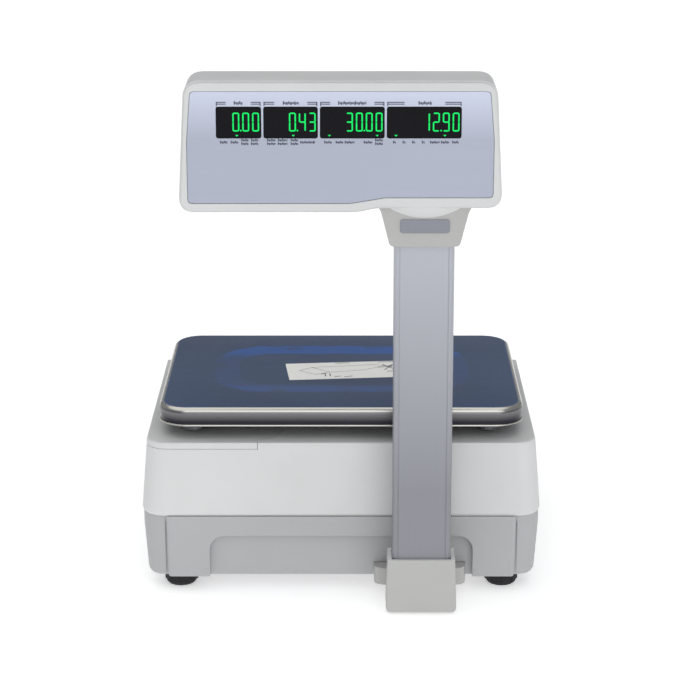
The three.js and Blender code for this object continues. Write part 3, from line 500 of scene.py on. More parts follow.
@cache
def protective_film():
    """Blue film over steel, darker in patches where it clings; the brighter band along the pressed slopes,
    strongest on the far slope, is a painted highlight.
    """
    colour = tuple(scene_colours().film) + (1.0,)
    material, tree, shader = new_material(
        "Blue protective film", Coat_Roughness=0.2, Specular_IOR_Level=0.35, Metallic=0.2)
    # Painted highlight: the two attributes below give a lighter blue band on the slopes of the dish.
    painted_highlight_band = add_node(tree, "ShaderNodeAttribute", attribute_name="painted_highlight_band")
    painted_highlight_strength = add_node(tree, "ShaderNodeAttribute", attribute_name="painted_highlight_strength")
    grained = group_node(tree, mould_grain, Patch_Scale=26.0)
    brushed = group_node(tree, brushed_lines, Stretch=(9.0, 700.0, 700.0), Cloud_Scale=5.0)
    edge = add_node(tree, "ShaderNodeMath", operation="ADD")
    tree.links.new(painted_highlight_band.outputs["Fac"], edge.inputs[0])
    tree.links.new(mapped(tree, grained.outputs["Patch"], -0.34, 0.24), edge.inputs[1])
    band = add_node(tree, "ShaderNodeMath", operation="MULTIPLY")
    tree.links.new(mapped(tree, edge.outputs["Value"], 0.0, 1.0, 0.46, 0.68), band.inputs[0])
    tree.links.new(painted_highlight_strength.outputs["Fac"], band.inputs[1])
    cloud = mapped(tree, brushed.outputs["Cloud"], 0, 1)
    cling = blended(tree, cloud, shade(colour, 0.85), shade(colour, 1.15))
    streaked = blended(tree, mapped(tree, brushed.outputs["Lines"], 0, 0.3), cling, shade(colour, 1.3))
    banded = blended(tree, band.outputs["Value"], streaked, srgb(44, 96, 176))
    tree.links.new(banded, shader.inputs["Base Color"])
    tree.links.new(mapped(tree, grained.outputs["Patch"], 0.28, 0.4), shader.inputs["Roughness"])
    tree.links.new(mapped(tree, grained.outputs["Patch"], 0.05, 0.2), shader.inputs["Coat Weight"])
    bumped(tree, shader, grained.outputs["Patch"], 0.0004, 0.2)
    return material


@cache
def level_liquid():
    material, tree, shader = new_material(
        "Level vial liquid", Roughness=0.05, Transmission_Weight=0.6, IOR=1.45)
    grained = group_node(tree, mould_grain, Patch_Scale=60.0)
    tint = blended(tree, grained.outputs["Patch"], srgb(176, 214, 60), srgb(206, 232, 96))
    tree.links.new(tint, shader.inputs["Base Color"])
    return material


# ---- what a user can change --------------------------------------------------------
class ScaleSizes(bpy.types.PropertyGroup):
    """Sizes of the pieces that the frame leaves open."""

    sticker_length: bpy.props.FloatProperty(
        name="Sticker Length", description="Long side of the paper sticker on the pan",
        default=0.15, unit="LENGTH", subtype="DISTANCE")
    sticker_width: bpy.props.FloatProperty(
        name="Sticker Width", description="Short side of the paper sticker on the pan",
        default=0.0588, unit="LENGTH", subtype="DISTANCE")
    sticker_turn: bpy.props.FloatProperty(
        name="Sticker Turn", description="How crooked the sticker was put on",
        default=math.radians(5.6), unit="ROTATION", subtype="ANGLE")
    digit_height: bpy.props.FloatProperty(
        name="Digit Height", description="Height of the seven-segment digits",
        default=0.0179, unit="LENGTH", subtype="DISTANCE")
    digit_pitch: bpy.props.FloatProperty(
        name="Digit Pitch", description="Distance between neighbouring digits",
        default=0.0092, unit="LENGTH", subtype="DISTANCE")
    edge_radius: bpy.props.FloatProperty(
        name="Edge Radius", description="Rounding along the moulded edges",
        default=0.0018, unit="LENGTH", subtype="DISTANCE")


def colour_property(name, description, red, green, blue):
    return bpy.props.FloatVectorProperty(
        name=name, description=description, subtype="COLOR", size=3, min=0, max=1,
        default=srgb(red, green, blue)[:3])


class ScaleColours(bpy.types.PropertyGroup):
    """Colours of the main finishes."""

    shell: colour_property("Shell", "Upper housing and display head", 214, 215, 215)
    # The mount colour is the bracket's own grey and also the painted shade on the head's neck.
    mount: colour_property("Mounts", "Pole bracket and neck of the display head", 184, 184, 182)
    base: colour_property("Base", "Lower base", 178, 178, 180)
    film: colour_property("Film", "Protective film on the pan", 54, 74, 108)
    pole: colour_property("Pole", "Anodised pole", 143, 145, 151)
    panel: colour_property("Panel", "Silver panel of the display", 176, 181, 197)
    digits: colour_property("Digits", "Lit digits", 18, 214, 96)


def scene_sizes():
    return bpy.context.scene.price_scale_sizes


def scene_colours():
    return bpy.context.scene.price_scale_colours


# ---- stage ---------------------------------------------------------------------------
CAMERA_AT = (0.009, -2.316, 0.889)
CAMERA_DOWN = math.radians(16.45)
CAMERA_LENS = 115.3
SKY_COLOUR = (0.92, 0.96, 1, 1)
SKY_STRENGTH = 0.32
FLOOR_SIZE = 60
FLOOR_GLOW = 0.4


def sky_panel(name, place, strength, spread, colour=(1, 1, 1)):
    """A very large soft light far away, in the direction of place."""
    data = bpy.data.lights.new(name, "SUN")
    data.energy = strength
    data.angle = math.radians(spread)
    data.color = colour
    lamp = bpy.data.objects.new(name, data)
    bpy.context.scene.collection.objects.link(lamp)
    lamp.location = place
    lamp.rotation_euler = Vector(place).to_track_quat("Z", "Y").to_euler()
    return lamp


class PRICESCALE_OT_stage(bpy.types.Operator):
    """Camera, pale floor and soft studio light"""

    bl_idname = "price_scale.stage"
    bl_label = "Stage"

    def execute(self, context):
        camera = bpy.data.objects.new("Camera", bpy.data.cameras.new("Camera"))
        context.scene.collection.objects.link(camera)
        camera.location = CAMERA_AT
        camera.rotation_euler = (math.pi / 2 - CAMERA_DOWN, 0, 0)
        camera.data.lens = CAMERA_LENS
        camera.data.clip_end = 50
        context.scene.camera = camera
        world = bpy.data.worlds.new("Studio")
        world.use_nodes = True
        world.node_tree.nodes["Background"].inputs["Color"].default_value = SKY_COLOUR
        world.node_tree.nodes["Background"].inputs["Strength"].default_value = SKY_STRENGTH
        context.scene.world = world
        context.scene.view_settings.view_transform = "Standard"
        sky_panel("Front panel", (0.5, -2.6, 1.5), 0.95, 55)
        sky_panel("Top panel", (-0.5, 0.1, 3.0), 1.05, 75, (1, 0.985, 0.95))
        floor = added(bpy.ops.mesh.primitive_plane_add, size=FLOOR_SIZE)
        floor.name = "Floor"
        pale = moulded("Pale floor", srgb(246, 246, 246), 0.8, depth=0.00001, spread=0.01)
        glow = pale.node_tree.nodes["Principled BSDF"]
        glow.inputs["Emission Color"].default_value = (1, 1, 1, 1)
        glow.inputs["Emission Strength"].default_value = FLOOR_GLOW
        floor.data.materials.append(pale)
        settle(floor)
        return {"FINISHED"}


# ---- housing and base ------------------------------------------------------------------
class PRICESCALE_OT_housing(bpy.types.Operator):
    """Upper housing and the lid over the labels"""

    bl_idname = "price_scale.housing"
    bl_label = "Housing and Lid"

    def execute(self, context):
        radius = scene_sizes().edge_radius
        for node, name in (("upper_housing", "housing_moulding"), ("label_lid", "lid_moulding")):
            piece = refined(node, name, radius)
            finish_piece(piece, name, body_of_node(node), shell_plastic(), [node])
        return {"FINISHED"}


class PRICESCALE_OT_base(bpy.types.Operator):
    """Lower base with its moulded marks, and the levelling feet"""

    bl_idname = "price_scale.base"
    bl_label = "Base and Feet"

    def execute(self, context):
        piece = refined("lower_base", "base_moulding", scene_sizes().edge_radius)
        finish_piece(piece, "base_moulding", "base", base_plastic(), ["lower_base"])
        for side in (-1, 1):
            mark = drum(2.4 * MM, LEG_FACE - 0.25 * MM, LEG_FACE + MM, (side * 138 * MM, 24 * MM))
            name = f"moulded_mark_{1 if side < 0 else 2}"
            finish_piece(smooth(bevelled(mark, 0.12 * MM, 2)), name, "base", base_plastic())
        for corner in ("rear_left", "rear_right", "front_left", "front_right"):
            pad, stud = f"foot_pad_{corner}", f"foot_stud_{corner}"
            piece = refined(pad, f"foot_rubber_{corner}", 0.4 * MM, 2)
            finish_piece(piece, piece.name, body_of_node(pad), black_rubber(), [pad])
            refinish(frame["nodes"][stud], steel())
        return {"FINISHED"}


# ---- pan, film and sticker ----------------------------------------------------------------
PAN_CORNER = 30 * MM
PAN_SHOULDER = 6.5 * MM
PAN_SHEET = 1.5 * MM
DISH_LOW = (-135 * MM, -119 * MM)
DISH_HIGH = (135 * MM, 48 * MM)
DISH_CORNER = 62 * MM
DISH_SLOPE = 26 * MM
DISH_DEEP = 1.2 * MM
CORNER_STEPS = 20


def rounded_plate(low, high, z, radius, segments):
    """A flat plate with round corners: a plane whose corners are bevelled."""
    middle = ((low[0] + high[0]) / 2, (low[1] + high[1]) / 2, z)
    piece = added(bpy.ops.mesh.primitive_plane_add, size=1, location=middle)
    piece.scale = (high[0] - low[0], high[1] - low[1], 1)
    settle(piece)
    edit_all(piece, "VERT")
    bpy.ops.mesh.bevel(offset=radius, segments=segments, affect="VERTICES", clamp_overlap=True)
    leave_edit()
    return piece


def open_rim(piece, z):
    """Selects the sheet's open edges that lie at a height."""
    choose(piece, lambda edge: edge.is_boundary and all(abs(v.co.z - z) < 1e-5 for v in edge.verts), "EDGE")


def drawn_down(piece, size, steps):
    """Carries the selected rim on through steps of (drop, outward), for a rim of the given size."""
    wide, deep = size
    for drop, outward in steps:
        bpy.ops.mesh.extrude_edges_move(TRANSFORM_OT_translate={"value": (0, 0, -drop)})
        bpy.ops.transform.resize(value=((wide + 2 * outward) / wide, (deep + 2 * outward) / deep, 1))
        wide, deep = wide + 2 * outward, deep + 2 * outward
    leave_edit()


def pan_surface():
    """The pan's outer skin as a single sheet, from the hem of its skirt to the pressed dish."""
    top = PAN_HIGH.z
    rim = top - PAN_SHOULDER
    skin = rounded_plate(PAN_LOW, PAN_HIGH, rim, PAN_CORNER, CORNER_STEPS)
    edit_all(skin)
    steps = 7
    for step in range(steps):
        near, far = (math.pi / 2 * k / steps for k in (step, step + 1))
        bpy.ops.mesh.inset(
            thickness=PAN_SHOULDER * (math.cos(near) - math.cos(far)),
            depth=PAN_SHOULDER * (math.sin(far) - math.sin(near)))
    bpy.ops.mesh.delete(type="ONLY_FACE")
    leave_edit()
    dish = rounded_plate(DISH_LOW, DISH_HIGH, top, DISH_CORNER, CORNER_STEPS)
    edit_all(dish)
    bpy.ops.mesh.inset(thickness=DISH_SLOPE, depth=-DISH_DEEP)
    leave_edit()
    skin = joined([skin, dish])
    open_rim(skin, top)
    bpy.ops.mesh.bridge_edge_loops()
    leave_edit()

    def is_fold(edge):
        heights = [v.co.z for v in edge.verts]
        level = max(heights) - min(heights) < 1e-5
        inside = all(abs(v.co.x) < DISH_HIGH[0] + 1e-5 for v in edge.verts)
        return level and inside and len(edge.link_faces) == 2 and edge.calc_face_angle(0) > math.radians(1)

    choose(skin, is_fold, "EDGE")
    bpy.ops.mesh.bevel(offset=9 * MM, segments=5)
    leave_edit()
    open_rim(skin, rim)
    size = PAN_HIGH - PAN_LOW
    hem = 1.1 * MM
    roll = [(hem * (math.cos(k * math.pi / 6) - math.cos((k + 1) * math.pi / 6)),
             hem * (math.sin((k + 1) * math.pi / 6) - math.sin(k * math.pi / 6))) for k in range(6)]
    drawn_down(skin, size.xy, [(rim - PAN_LOW.z - 2 * hem, -1.4 * MM), *roll])
    edit_all(skin)
    bpy.ops.mesh.normals_make_consistent(inside=False)
    leave_edit()
    if max(skin.data.polygons, key=lambda face: face.area).normal.z < 0:
        edit_all(skin)
        bpy.ops.mesh.flip_normals()
        leave_edit()
    return skin


class PRICESCALE_OT_pan(bpy.types.Operator):
    """Stainless pan with a pressed dish, a rounded shoulder and a rolled skirt"""

    bl_idname = "price_scale.pan"
    bl_label = "Weighing Pan"

    def execute(self, context):
        skin = pan_surface()
        film = copied(skin)
        smooth(thickened(skin, PAN_SHEET), 50)
        finish_piece(skin, "pan_sheet", "platter", stainless(), ["weighing_pan"])
        # Painted shade on the skirt's upright faces, with a painted highlight along its top.
        tinted(skin, painted_shade_skirt_steel(), self.is_shaded_skirt)
        self.make_film(film)
        return {"FINISHED"}

    def is_shaded_skirt(self, face):
        height = face.calc_center_median().z
        upright = abs(face.normal.z) < 0.45 and face.calc_area() > 2e-6
        return upright and PAN_LOW.z + 2.4 * MM < height < PAN_HIGH.z - 4 * MM

    def make_film(self, film):
        """The film lies on the flat of the pan and on the slopes of the dish, with a painted highlight along
        the slopes.
        """
        top = PAN_HIGH.z
        lowest = top - DISH_DEEP - 0.3 * MM
        choose(film, lambda face: face.normal.z < 0.97 or face.calc_center_median().z < lowest)
        bpy.ops.mesh.delete(type="FACE")
        leave_edit()
        # Painted highlight: a band along the dish's slopes, strongest on the far slope and weaker on the near
        # one.
        painted_highlight_band = film.data.attributes.new("painted_highlight_band", "FLOAT", "POINT")
        painted_highlight_strength = film.data.attributes.new("painted_highlight_strength", "FLOAT", "POINT")
        for vertex, slope, strength in zip(film.data.vertices, painted_highlight_band.data, painted_highlight_strength.data):
            sunk = (top - vertex.co.z) / DISH_DEEP
            band_weight = 0.74 if sunk < 0.5 else 1.0  # painted highlight band: ragged along the outer fold, whole along the inner
            slope.value = band_weight * max(0, min(1, min(sunk, 1 - sunk) / 0.12))
            far = (vertex.co.y - 2 * MM) / (26 * MM)
            near = (-84 * MM - vertex.co.y) / (22 * MM)
            strength.value = max(0.15, min(0.8, far), min(0.5, near * 0.5))
        smooth(thickened(film, 0.2 * MM, 1), 60)
        finish_piece(film, "protective_film", "platter", protective_film())


class PRICESCALE_OT_sticker(bpy.types.Operator):
    """Blank paper sticker with line pictograms, put on crooked"""

    bl_idname = "price_scale.sticker"
    bl_label = "Sticker"

    def execute(self, context):
        sizes = scene_sizes()
        half = Vector((sizes.sticker_length / 2, sizes.sticker_width / 2))
        z = PAN_HIGH.z - DISH_DEEP + 0.35 * MM
        place = Matrix.Translation((17.4 * MM, -38.6 * MM, z)) @ Matrix.Rotation(sizes.sticker_turn, 4, "Z")
        paper = rounded_plate(-half, half, 0, 0.8 * MM, 4)
        thickened(paper, 0.12 * MM)
        paper.data.transform(place)
        finish_piece(paper, "pan_sticker", "platter", label_paper())
        strokes = self.pictogram(sizes)
        strokes.data.transform(place @ Matrix.Translation((0, 0, 0.15 * MM)))
        finish_piece(strokes, "sticker_pictogram", "platter", ink())
        return {"FINISHED"}

    def pictogram(self, sizes):
        """A hand lifting a tray, drawn with thin bars, with short greeked lines beside it."""
        thin = [
            ((-62, 3), (-48, 13)), ((-48, 13), (-30, -6)), ((-30, -6), (-46, -13)), ((-46, -13), (-62, 3)),
            ((-48, 13), (18, 17)), ((-30, -6), (4, -2)), ((4, -2), (30, 12)), ((18, 17), (40, 8)),
        ]
        bold = [
            ((-36, -20), (-36, -11)), ((-31, -20), (-31, -11)), ((-27, -22), (-20, -21)),
            ((-17, -24), (-8, -22)), ((28, 17), (40, -3)), ((28, -3), (40, 17)), ((22, 7), (42, 9)),
            ((34, 12), (44, 19)), ((30, -9), (38, -7)), ((-22, 26), (-6, 26)), ((24, 26), (46, 26)),
            ((-40, -12), (-34, -8)), ((66, 22), (66, -8)),
        ]
        strokes = [bar_between(Vector(a) * MM, Vector(b) * MM, 0.3 * MM) for a, b in thin]
        strokes += [bar_between(Vector(a) * MM, Vector(b) * MM, 0.9 * MM) for a, b in bold]
        return joined(strokes)


def bar_between(start, end, width, height=0.06 * MM):
    """A thin flat bar on the XY plane from one point to another."""
    piece = block((0, -width / 2, 0), ((end - start).length, width / 2, height))
    angle = math.atan2(end.y - start.y, end.x - start.x)
    piece.data.transform(Matrix.Translation((start.x, start.y, 0)) @ Matrix.Rotation(angle, 4, "Z"))
    return piece


# ---- pole and bracket ---------------------------------------------------------------------
def screw(centre, axis, radius=3 * MM):
    """A pan-head screw with a cross recess; its head stands out along axis."""
    head = added(bpy.ops.mesh.primitive_cylinder_add, vertices=32, radius=radius, depth=1.6 * MM)
    bevelled(head, 0.6 * MM, 4, 60)
    for long, short in ((radius * 0.6, 0.4 * MM), (0.4 * MM, radius * 0.6)):
        cutter = block((-long, -short, 0), (long, short, 2 * MM))
        cut = head.modifiers.new("Recess", "BOOLEAN")
        cut.object = cutter
        cut.operation = "DIFFERENCE"
        apply_modifiers(head)
        bpy.data.objects.remove(cutter)
    turn = Vector(axis).to_track_quat("Z", "Y").to_matrix().to_4x4()
    head.data.transform(Matrix.Translation(centre) @ turn)
    return smooth(head, 30)


SOCKET_RIM_OVER = 50 * MM
SCREW_AT = (20 * MM, POLE_HIGH.y + 5.2 * MM, 40 * MM)  # aside from the pole's middle, and in Y and Z


class PRICESCALE_OT_pole(bpy.types.Operator):
    """Grooved aluminium pole, its moulded bracket and the clamping screws"""

    bl_idname = "price_scale.pole"
    bl_label = "Pole and Bracket"

    def execute(self, context):
        pole = refined("pole", "pole_extrusion", 0.25 * MM, 2)
        finish_piece(pole, "pole_extrusion", "base", pole_aluminium(), ["pole"])
        socket = refined("pole_socket", "pole_bracket_moulding", 1.2 * MM, 4, shaped=self.round_bottom)
        finish_piece(socket, socket.name, "base", mount_plastic_and_neck_shade(), ["pole_socket"])
        # Painted highlight: the bracket's upward faces above its rim take the lighter shell plastic.
        tinted(socket, shell_plastic(),
               lambda face: face.normal.z > 0.3 and face.calc_center_median().z > SOCKET_RIM_OVER)
        middle = (POLE_LOW.x + POLE_HIGH.x) / 2
        for index, x in enumerate((middle - SCREW_AT[0], middle + SCREW_AT[0])):
            piece = screw((x, *SCREW_AT[1:]), (0, 1, 0))
            finish_piece(piece, f"bracket_screw_{index + 1}", "base", steel())
        return {"FINISHED"}

    def round_bottom(self, socket):
        lowest = min(vertex.co.z for vertex in socket.data.vertices)
        choose(socket, lambda edge: all(vertex.co.z < lowest + 0.01 * MM for vertex in edge.verts), "EDGE")
        bpy.ops.mesh.bevel(offset=3.4 * MM, segments=5, clamp_overlap=True)
        leave_edit()


# ---- display head -----------------------------------------------------------------------------
class PRICESCALE_OT_head(bpy.types.Operator):
    """Both halves of the display head, with panels, windows and badge"""

    bl_idname = "price_scale.head"
    bl_label = "Display Head"

    def execute(self, context):
        for side in ("customer", "operator"):
            node = f"head_{side}_shell"
            shell = refined(node, f"{side}_head_moulding", 2.2 * MM, 5)
            finish_piece(shell, shell.name, "base", shell_plastic(), [node])
            # Painted shade: the neck of the head shell takes the darker mount colour.
            tinted(shell, mount_plastic_and_neck_shade(), self.is_shaded_neck)
            node = f"{side}_panel"
            panel = refined(node, f"{side}_fascia", 0.25 * MM, 2)
            finish_piece(panel, panel.name, "base", panel_silver(), [node])
            for index in range(1, 5):
                node = f"{side}_window_{index}"
                lens = refined(node, f"{side}_lens_{index}", 0.3 * MM, 3)
                finish_piece(lens, lens.name, "base", smoked_window(), [node])
        badge = refined("neck_badge", "blank_badge", 0.35 * MM, 3)
        finish_piece(badge, "blank_badge", "base", badge_grey(), ["neck_badge"])
        return {"FINISHED"}

    def is_shaded_neck(self, face):
        """Under the head's lower edge, but not on the leaning facet between the two: the faces that get
        painted shade.
        """
        leaning = abs(face.normal.y) > 0.5 and abs(face.normal.z) > 0.06
        return face.calc_center_median().z < FACE_LOW.z - 9.5 * MM and not leaning


HALF_DEPTH = 0.06 * MM  # of a lit or unlit segment
HALF_TURN = (Matrix.Translation((0, HEAD_MIDDLE, 0)) @ Matrix.Rotation(math.pi, 4, "Z")
             @ Matrix.Translation((0, -HEAD_MIDDLE, 0)))


def place_both(piece, name, material):
    """The customer's copy where it is, and the operator's turned half round the head's middle."""
    other = copied(piece, turn=HALF_TURN)
    finish_piece(piece, f"customer_{name}", "base", material)
    finish_piece(other, f"operator_{name}", "base", material)


SEGMENTS = {
    "0": "abcdef", "1": "bc", "2": "abged", "3": "abgcd", "4": "fgbc",
    "5": "afgcd", "6": "afgedc", "7": "abc", "8": "abcdefg", "9": "abcdfg",
}


def segment_bar(length, width, depth, upright):
    """One segment: a bar with pointed ends, lying along X or standing along Z, facing -Y."""
    bar = added(bpy.ops.mesh.primitive_cube_add, size=1)
    bar.scale = (length - width, depth, width)
    settle(bar)
    for end in (-1, 1):
        choose(bar, lambda face, end=end: face.normal.x * end > 0.9)
        bpy.ops.mesh.extrude_region_move(TRANSFORM_OT_translate={"value": (end * width / 2, 0, 0)})
        bpy.ops.transform.resize(value=(1, 1, 0.15))
        leave_edit()
    if upright:
        bar.data.transform(Matrix.Rotation(math.pi / 2, 4, "Y"))
    return bar


def make_segments(height):
    """The seven segments of one digit, centred on the origin, by letter."""
    width = height * 0.072
    wide, tall = height * 0.29, height / 2
    flat = segment_bar(wide * 0.98, width, 2 * HALF_DEPTH, False)
    upright = segment_bar(tall * 0.93, width, 2 * HALF_DEPTH, True)
    half = (height - width) / 2
    places = {
        "a": (flat, 0, half), "g": (flat, 0, 0), "d": (flat, 0, -half),
        "f": (upright, -wide / 2, half / 2), "b": (upright, wide / 2, half / 2),
        "e": (upright, -wide / 2, -half / 2), "c": (upright, wide / 2, -half / 2),
    }
    made = {letter: copied(bar, (x, 0, z)) for letter, (bar, x, z) in places.items()}
    bpy.data.objects.remove(flat)
    bpy.data.objects.remove(upright)
    return made


DIGITS_UNDER_TOP = 5.2 * MM  # from the window's upper edge
LAST_DIGIT_IN = 4.8 * MM  # its middle, from the window's right edge
WIDE_WINDOW = 55 * MM  # a window wider than this has six digits, and a narrower one four
READINGS = (  # the figures in each window, and where its markers stand as shares of its width
    ("0.00", (0.46,)), ("0.43", (0.55,)), ("30.00", (0.14, 0.89)), ("12.90", (0.12, 0.78)),
)


class PRICESCALE_OT_readings(bpy.types.Operator):
    """Lit seven-segment digits and marker triangles in every window, on both sides"""

    bl_idname = "price_scale.readings"
    bl_label = "Display Readings"

    def execute(self, context):
        height = scene_sizes().digit_height
        bars = make_segments(height)
        unlit = moulded("Unlit segment", srgb(15, 15, 21), 0.4, spread=0.1, specular=0.12)
        for index, (text, markers) in enumerate(READINGS, start=1):
            low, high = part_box(f"customer_window_{index}")
            lit, dim = self.reading(bars, text, markers, low, high, height)
            place_both(lit, f"reading_{index}", digit_green())
            place_both(dim, f"unlit_segments_{index}", unlit)
        for bar in bars.values():
            bpy.data.objects.remove(bar)
        return {"FINISHED"}

    def reading(self, bars, text, markers, low, high, height):
        """The lit and the unlit segments of one window, right-aligned, with its dot and markers."""
        pitch = scene_sizes().digit_pitch
        front, base = low.y - 0.05 * MM, high.z - DIGITS_UNDER_TOP - height / 2
        lit, dim = [], []
        right = high.x - LAST_DIGIT_IN
        digits = [character for character in text if character != "."]
        places = [right - pitch * (len(digits) - 1 - k) for k in range(len(digits))]
        for k in range(6 if (high.x - low.x) > WIDE_WINDOW else 4):
            x = right - pitch * k
            character = digits[len(digits) - 1 - k] if k < len(digits) else None
            for letter, bar in bars.items():
                on = character is not None and letter in SEGMENTS[character]
                (lit if on else dim).append(copied(bar, (x, front, base)))
        dot_at = places[text.index(".") - 1] + pitch * 0.5
        dot_place = (dot_at, base - height * 0.45)
        lit.append(drum(height * 0.042, front - HALF_DEPTH, front + HALF_DEPTH, dot_place, 16))
        for share in markers:
            x, z = low.x + (high.x - low.x) * share, low.z + 2.4 * MM
            marker = drum(1.7 * MM, front - HALF_DEPTH, front + HALF_DEPTH, (x, z), 3)
            marker.data.transform(Matrix.Translation((0, 0, z)) @ Matrix.Scale(-0.6, 4, (0, 0, 1))
                                  @ Matrix.Translation((0, 0, -z)))
            marker.data.flip_normals()
            lit.append(marker)
        return joined(lit), joined(dim)


PRINT_Y = FACE_LOW.y - 0.04 * MM
INK_HALF = 0.05 * MM
RHYTHM = (1.3, 1.0, 1.5, 0.9, 1.2)


def inked(x0, x1, z0, z1):
    """A flat bar of ink on the customer's panel, given by its sides in X and Z."""
    return block((x0, PRINT_Y - INK_HALF, z0), (x1, PRINT_Y + INK_HALF, z1))


def greeked(x0, x1, z, height):
    """A row of small upright strokes that stands for a word without spelling one."""
    strokes, x, k = [], x0, 0
    while x < x1 - 0.4 * MM:
        width = min(RHYTHM[k % len(RHYTHM)] * height * 0.32, x1 - x)
        low = z + (height * 0.22 if k % 3 == 1 else 0)
        strokes.append(inked(x, x + width * 0.74, low, z + height * (0.72 if k % 4 else 1)))
        x += width
        k += 1
    return strokes


class PRICESCALE_OT_printing(bpy.types.Operator):
    """Bracket lines over each window and rows of wordless marks under it"""

    bl_idname = "price_scale.printing"
    bl_label = "Panel Printing"

    LINE = 0.8 * MM
    ROWS = {1: (0,), 2: (2.0 * MM, -1.4 * MM)}  # how far the rows of a legend stand from its middle
    CAPTIONS = ((0.4, 0.6), (0.36, 0.66), (0.28, 0.72), (0.42, 0.6))
    LEGENDS = (
        ((0.08, 0.26, 1), (0.32, 0.5, 1), (0.56, 0.72, 2), (0.78, 0.94, 2)),
        ((0.06, 0.22, 2), (0.26, 0.44, 2), (0.5, 0.64, 2), (0.68, 0.96, 1)),
        ((0.06, 0.18, 1), (0.24, 0.36, 1), (0.38, 0.54, 1), (0.68, 0.82, 1), (0.86, 0.98, 2)),
        ((0.08, 0.12, 1), (0.21, 0.25, 1), (0.34, 0.38, 1), (0.47, 0.51, 1), (0.58, 0.71, 1),
         (0.73, 0.84, 1), (0.88, 0.97, 1)),
    )

    def execute(self, context):
        marks = []
        for index in range(4):
            low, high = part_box(f"customer_window_{index + 1}")
            wide = high.x - low.x
            above, below = high.z + 2.2 * MM, low.z - 5.2 * MM
            first, last = (low.x + wide * share for share in self.CAPTIONS[index])
            left, right = (first - low.x) * 0.55, (high.x - last) * 0.55
            for x0, x1 in ((low.x, low.x + left), (high.x - right, high.x)):
                for z in (above + 0.2 * MM, above + 1.9 * MM):
                    marks.append(inked(x0, x1, z, z + self.LINE))
            for x in (low.x, high.x - self.LINE):
                marks.append(inked(x, x + self.LINE, above - 1.4 * MM, above + 2.6 * MM))
            marks += greeked(first, last, above, 3.4 * MM)
            for start, end, rows in self.LEGENDS[index]:
                for offset in self.ROWS[rows]:
                    marks += greeked(low.x + wide * start, low.x + wide * end, below + offset, 2.7 * MM)
        place_both(joined(marks), "panel_printing", ink())
        return {"FINISHED"}


# ---- keypad and inner parts ------------------------------------------------------------------------
KEY_SLOPE = Matrix.Translation((0, 108 * MM, 162 * MM)) @ Matrix.Rotation(-math.atan2(67, 143), 4, "X")
KEY_TOP = 1.1 * MM
NUMBER_KEYS = ((97, 18), (51.4, 20.4))  # first key and pitch across and down the slope, in mm
ITEM_KEYS = ((-36, 18), (31, 20.4))
KEY_FILMS = (
    ("Item key film", (-46, 84), (226, 232, 238)), ("Number key film", (86, 144), (244, 244, 240)),
    ("Function key film", (145, 164), (92, 150, 196)), ("Print key film", (164, 184), (226, 148, 74)),
)
NUMERALS = (("9", "8", "7"), ("6", "5", "4"), ("3", "2", "1"), ("000", "00", "0"))


class PRICESCALE_OT_keypad(bpy.types.Operator):
    """Flat keypad with its embossed keys in groups, and numerals on the number keys"""

    bl_idname = "price_scale.keypad"
    bl_label = "Keypad"

    def execute(self, context):
        sheet = refined("keypad_panel", "keypad_membrane", 0.3 * MM, 2)
        finish_piece(sheet, "keypad_membrane", "base",
                     moulded("Keypad film", srgb(176, 184, 194), 0.35, spread=0.05), ["keypad_panel"])
        for name, (first, last), colour in KEY_FILMS:
            film = moulded(name, srgb(*colour), 0.38, spread=0.05)
            tinted(sheet, film, lambda face, a=first * MM, b=last * MM: self.on_key(face, a, b))
        marks = [self.numeral(text, *self.key_at(NUMBER_KEYS, column, row))
                 for row, texts in enumerate(NUMERALS) for column, text in enumerate(texts)]
        for column in range(7):
            for row in range(6):
                marks += self.key_lines(*self.key_at(ITEM_KEYS, column, row))
        printed = joined(marks)
        finish_piece(printed, "keypad_printing", "base", ink())
        return {"FINISHED"}

    def key_at(self, keys, column, row):
        (x, across), (y, down) = keys
        return x + across * column, y + down * row

    def on_key(self, face, first, last):
        place = KEY_SLOPE.inverted() @ face.calc_center_median()
        return first < place.x < last and place.z > 0.65 * MM

    def numeral(self, text, x, down):
        piece = added(bpy.ops.object.text_add)
        piece.data.body = text
        piece.data.size = (9.5 if len(text) == 1 else 6.5) * MM
        piece.data.align_x = "CENTER"
        piece.data.align_y = "CENTER"
        piece.data.extrude = 0.04 * MM
        bpy.ops.object.convert(target="MESH")
        piece = bpy.context.object
        place = Matrix.Translation((x * MM, down * MM, KEY_TOP + 0.05 * MM))
        piece.data.transform(KEY_SLOPE @ place @ Matrix.Rotation(math.pi, 4, "Z"))
        return piece

    def key_lines(self, x, down):
        """Two short greeked lines that stand for what an item key sells."""
        lines = []
        for offset, half in ((-2.2, 4.2), (2.2, 2.8)):
            start, end = (Vector((x + side * half, down + offset)) * MM for side in (-1, 1))
            line = bar_between(start, end, 0.8 * MM)
            line.data.transform(KEY_SLOPE @ Matrix.Translation((0, 0, KEY_TOP + 0.02 * MM)))
            lines.append(line)
        return lines


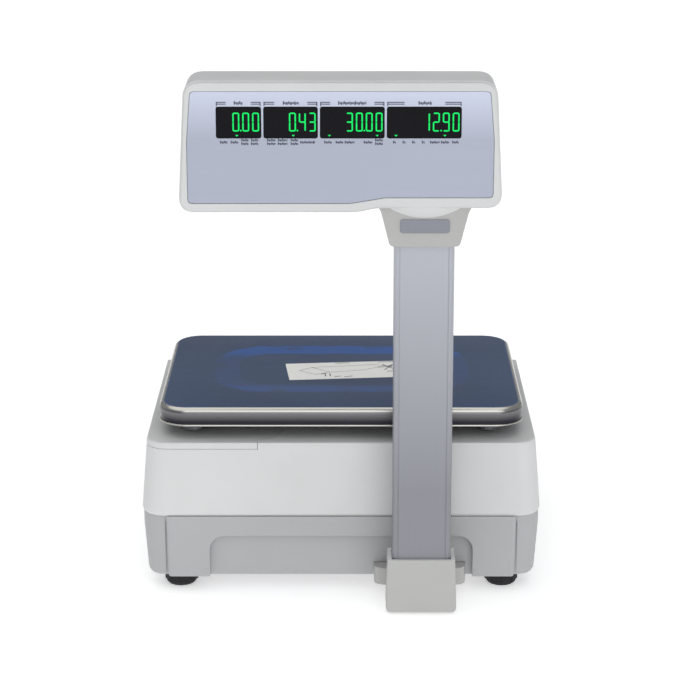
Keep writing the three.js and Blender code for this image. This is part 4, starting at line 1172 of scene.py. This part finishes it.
PLAIN_FINISHES = {
    "plain_steel": steel, "cast_aluminium": cast_aluminium, "dark_plastic": dark_plastic,
    "gear_plastic": white_plastic, "foot_rubber": black_rubber, "label_paper": label_paper,
    "level_liquid": level_liquid, "level_plastic": white_plastic,
    "platen_rubber": black_rubber, "stainless_pan": stainless,
    "lever_plastic": lambda: moulded("Blue lever plastic", srgb(52, 108, 160), 0.35),
    "board_green": lambda: moulded("Green circuit board", srgb(34, 92, 58), 0.4, grain=500.0, spread=0.3),
}


class PRICESCALE_OT_inner_parts(bpy.types.Operator):
    """Finishes for the frame's own parts that stay as they are"""

    bl_idname = "price_scale.inner_parts"
    bl_label = "Inner Parts"

    def execute(self, context):
        for node, piece in frame["nodes"].items():
            slot = slot_of(node)
            if slot in PLAIN_FINISHES and not piece.hide_render:
                refinish(piece, PLAIN_FINISHES[slot]())
        return {"FINISHED"}


# ---- panel and registration ----------------------------------------------------------------------------
BUILD_ORDER = (
    PRICESCALE_OT_stage, PRICESCALE_OT_housing, PRICESCALE_OT_base, PRICESCALE_OT_pan,
    PRICESCALE_OT_sticker, PRICESCALE_OT_pole, PRICESCALE_OT_head, PRICESCALE_OT_readings,
    PRICESCALE_OT_printing, PRICESCALE_OT_keypad, PRICESCALE_OT_inner_parts,
)


class PRICESCALE_PT_build(bpy.types.Panel):
    """Sizes, colours and the build steps in order"""

    bl_idname = "PRICESCALE_PT_build"
    bl_label = "Price Scale"
    bl_space_type = "VIEW_3D"
    bl_region_type = "UI"
    bl_category = "Scale"

    def draw(self, context):
        for group in (context.scene.price_scale_sizes, context.scene.price_scale_colours):
            box = self.layout.box()
            for name in group.__annotations__:
                box.prop(group, name)
        for operator in BUILD_ORDER:
            self.layout.operator(operator.bl_idname)


CLASSES = (ScaleSizes, ScaleColours, *BUILD_ORDER, PRICESCALE_PT_build)


def register():
    for cls in CLASSES:
        bpy.utils.register_class(cls)
    bpy.types.Scene.price_scale_sizes = bpy.props.PointerProperty(type=ScaleSizes)
    bpy.types.Scene.price_scale_colours = bpy.props.PointerProperty(type=ScaleColours)


def unregister():
    del bpy.types.Scene.price_scale_colours
    del bpy.types.Scene.price_scale_sizes
    for cls in reversed(CLASSES):
        bpy.utils.unregister_class(cls)


def main():
    register()
    for operator in BUILD_ORDER:
        group, name = operator.bl_idname.split(".")
        getattr(getattr(bpy.ops, group), name)()


if __name__ == "__main__":
    main()
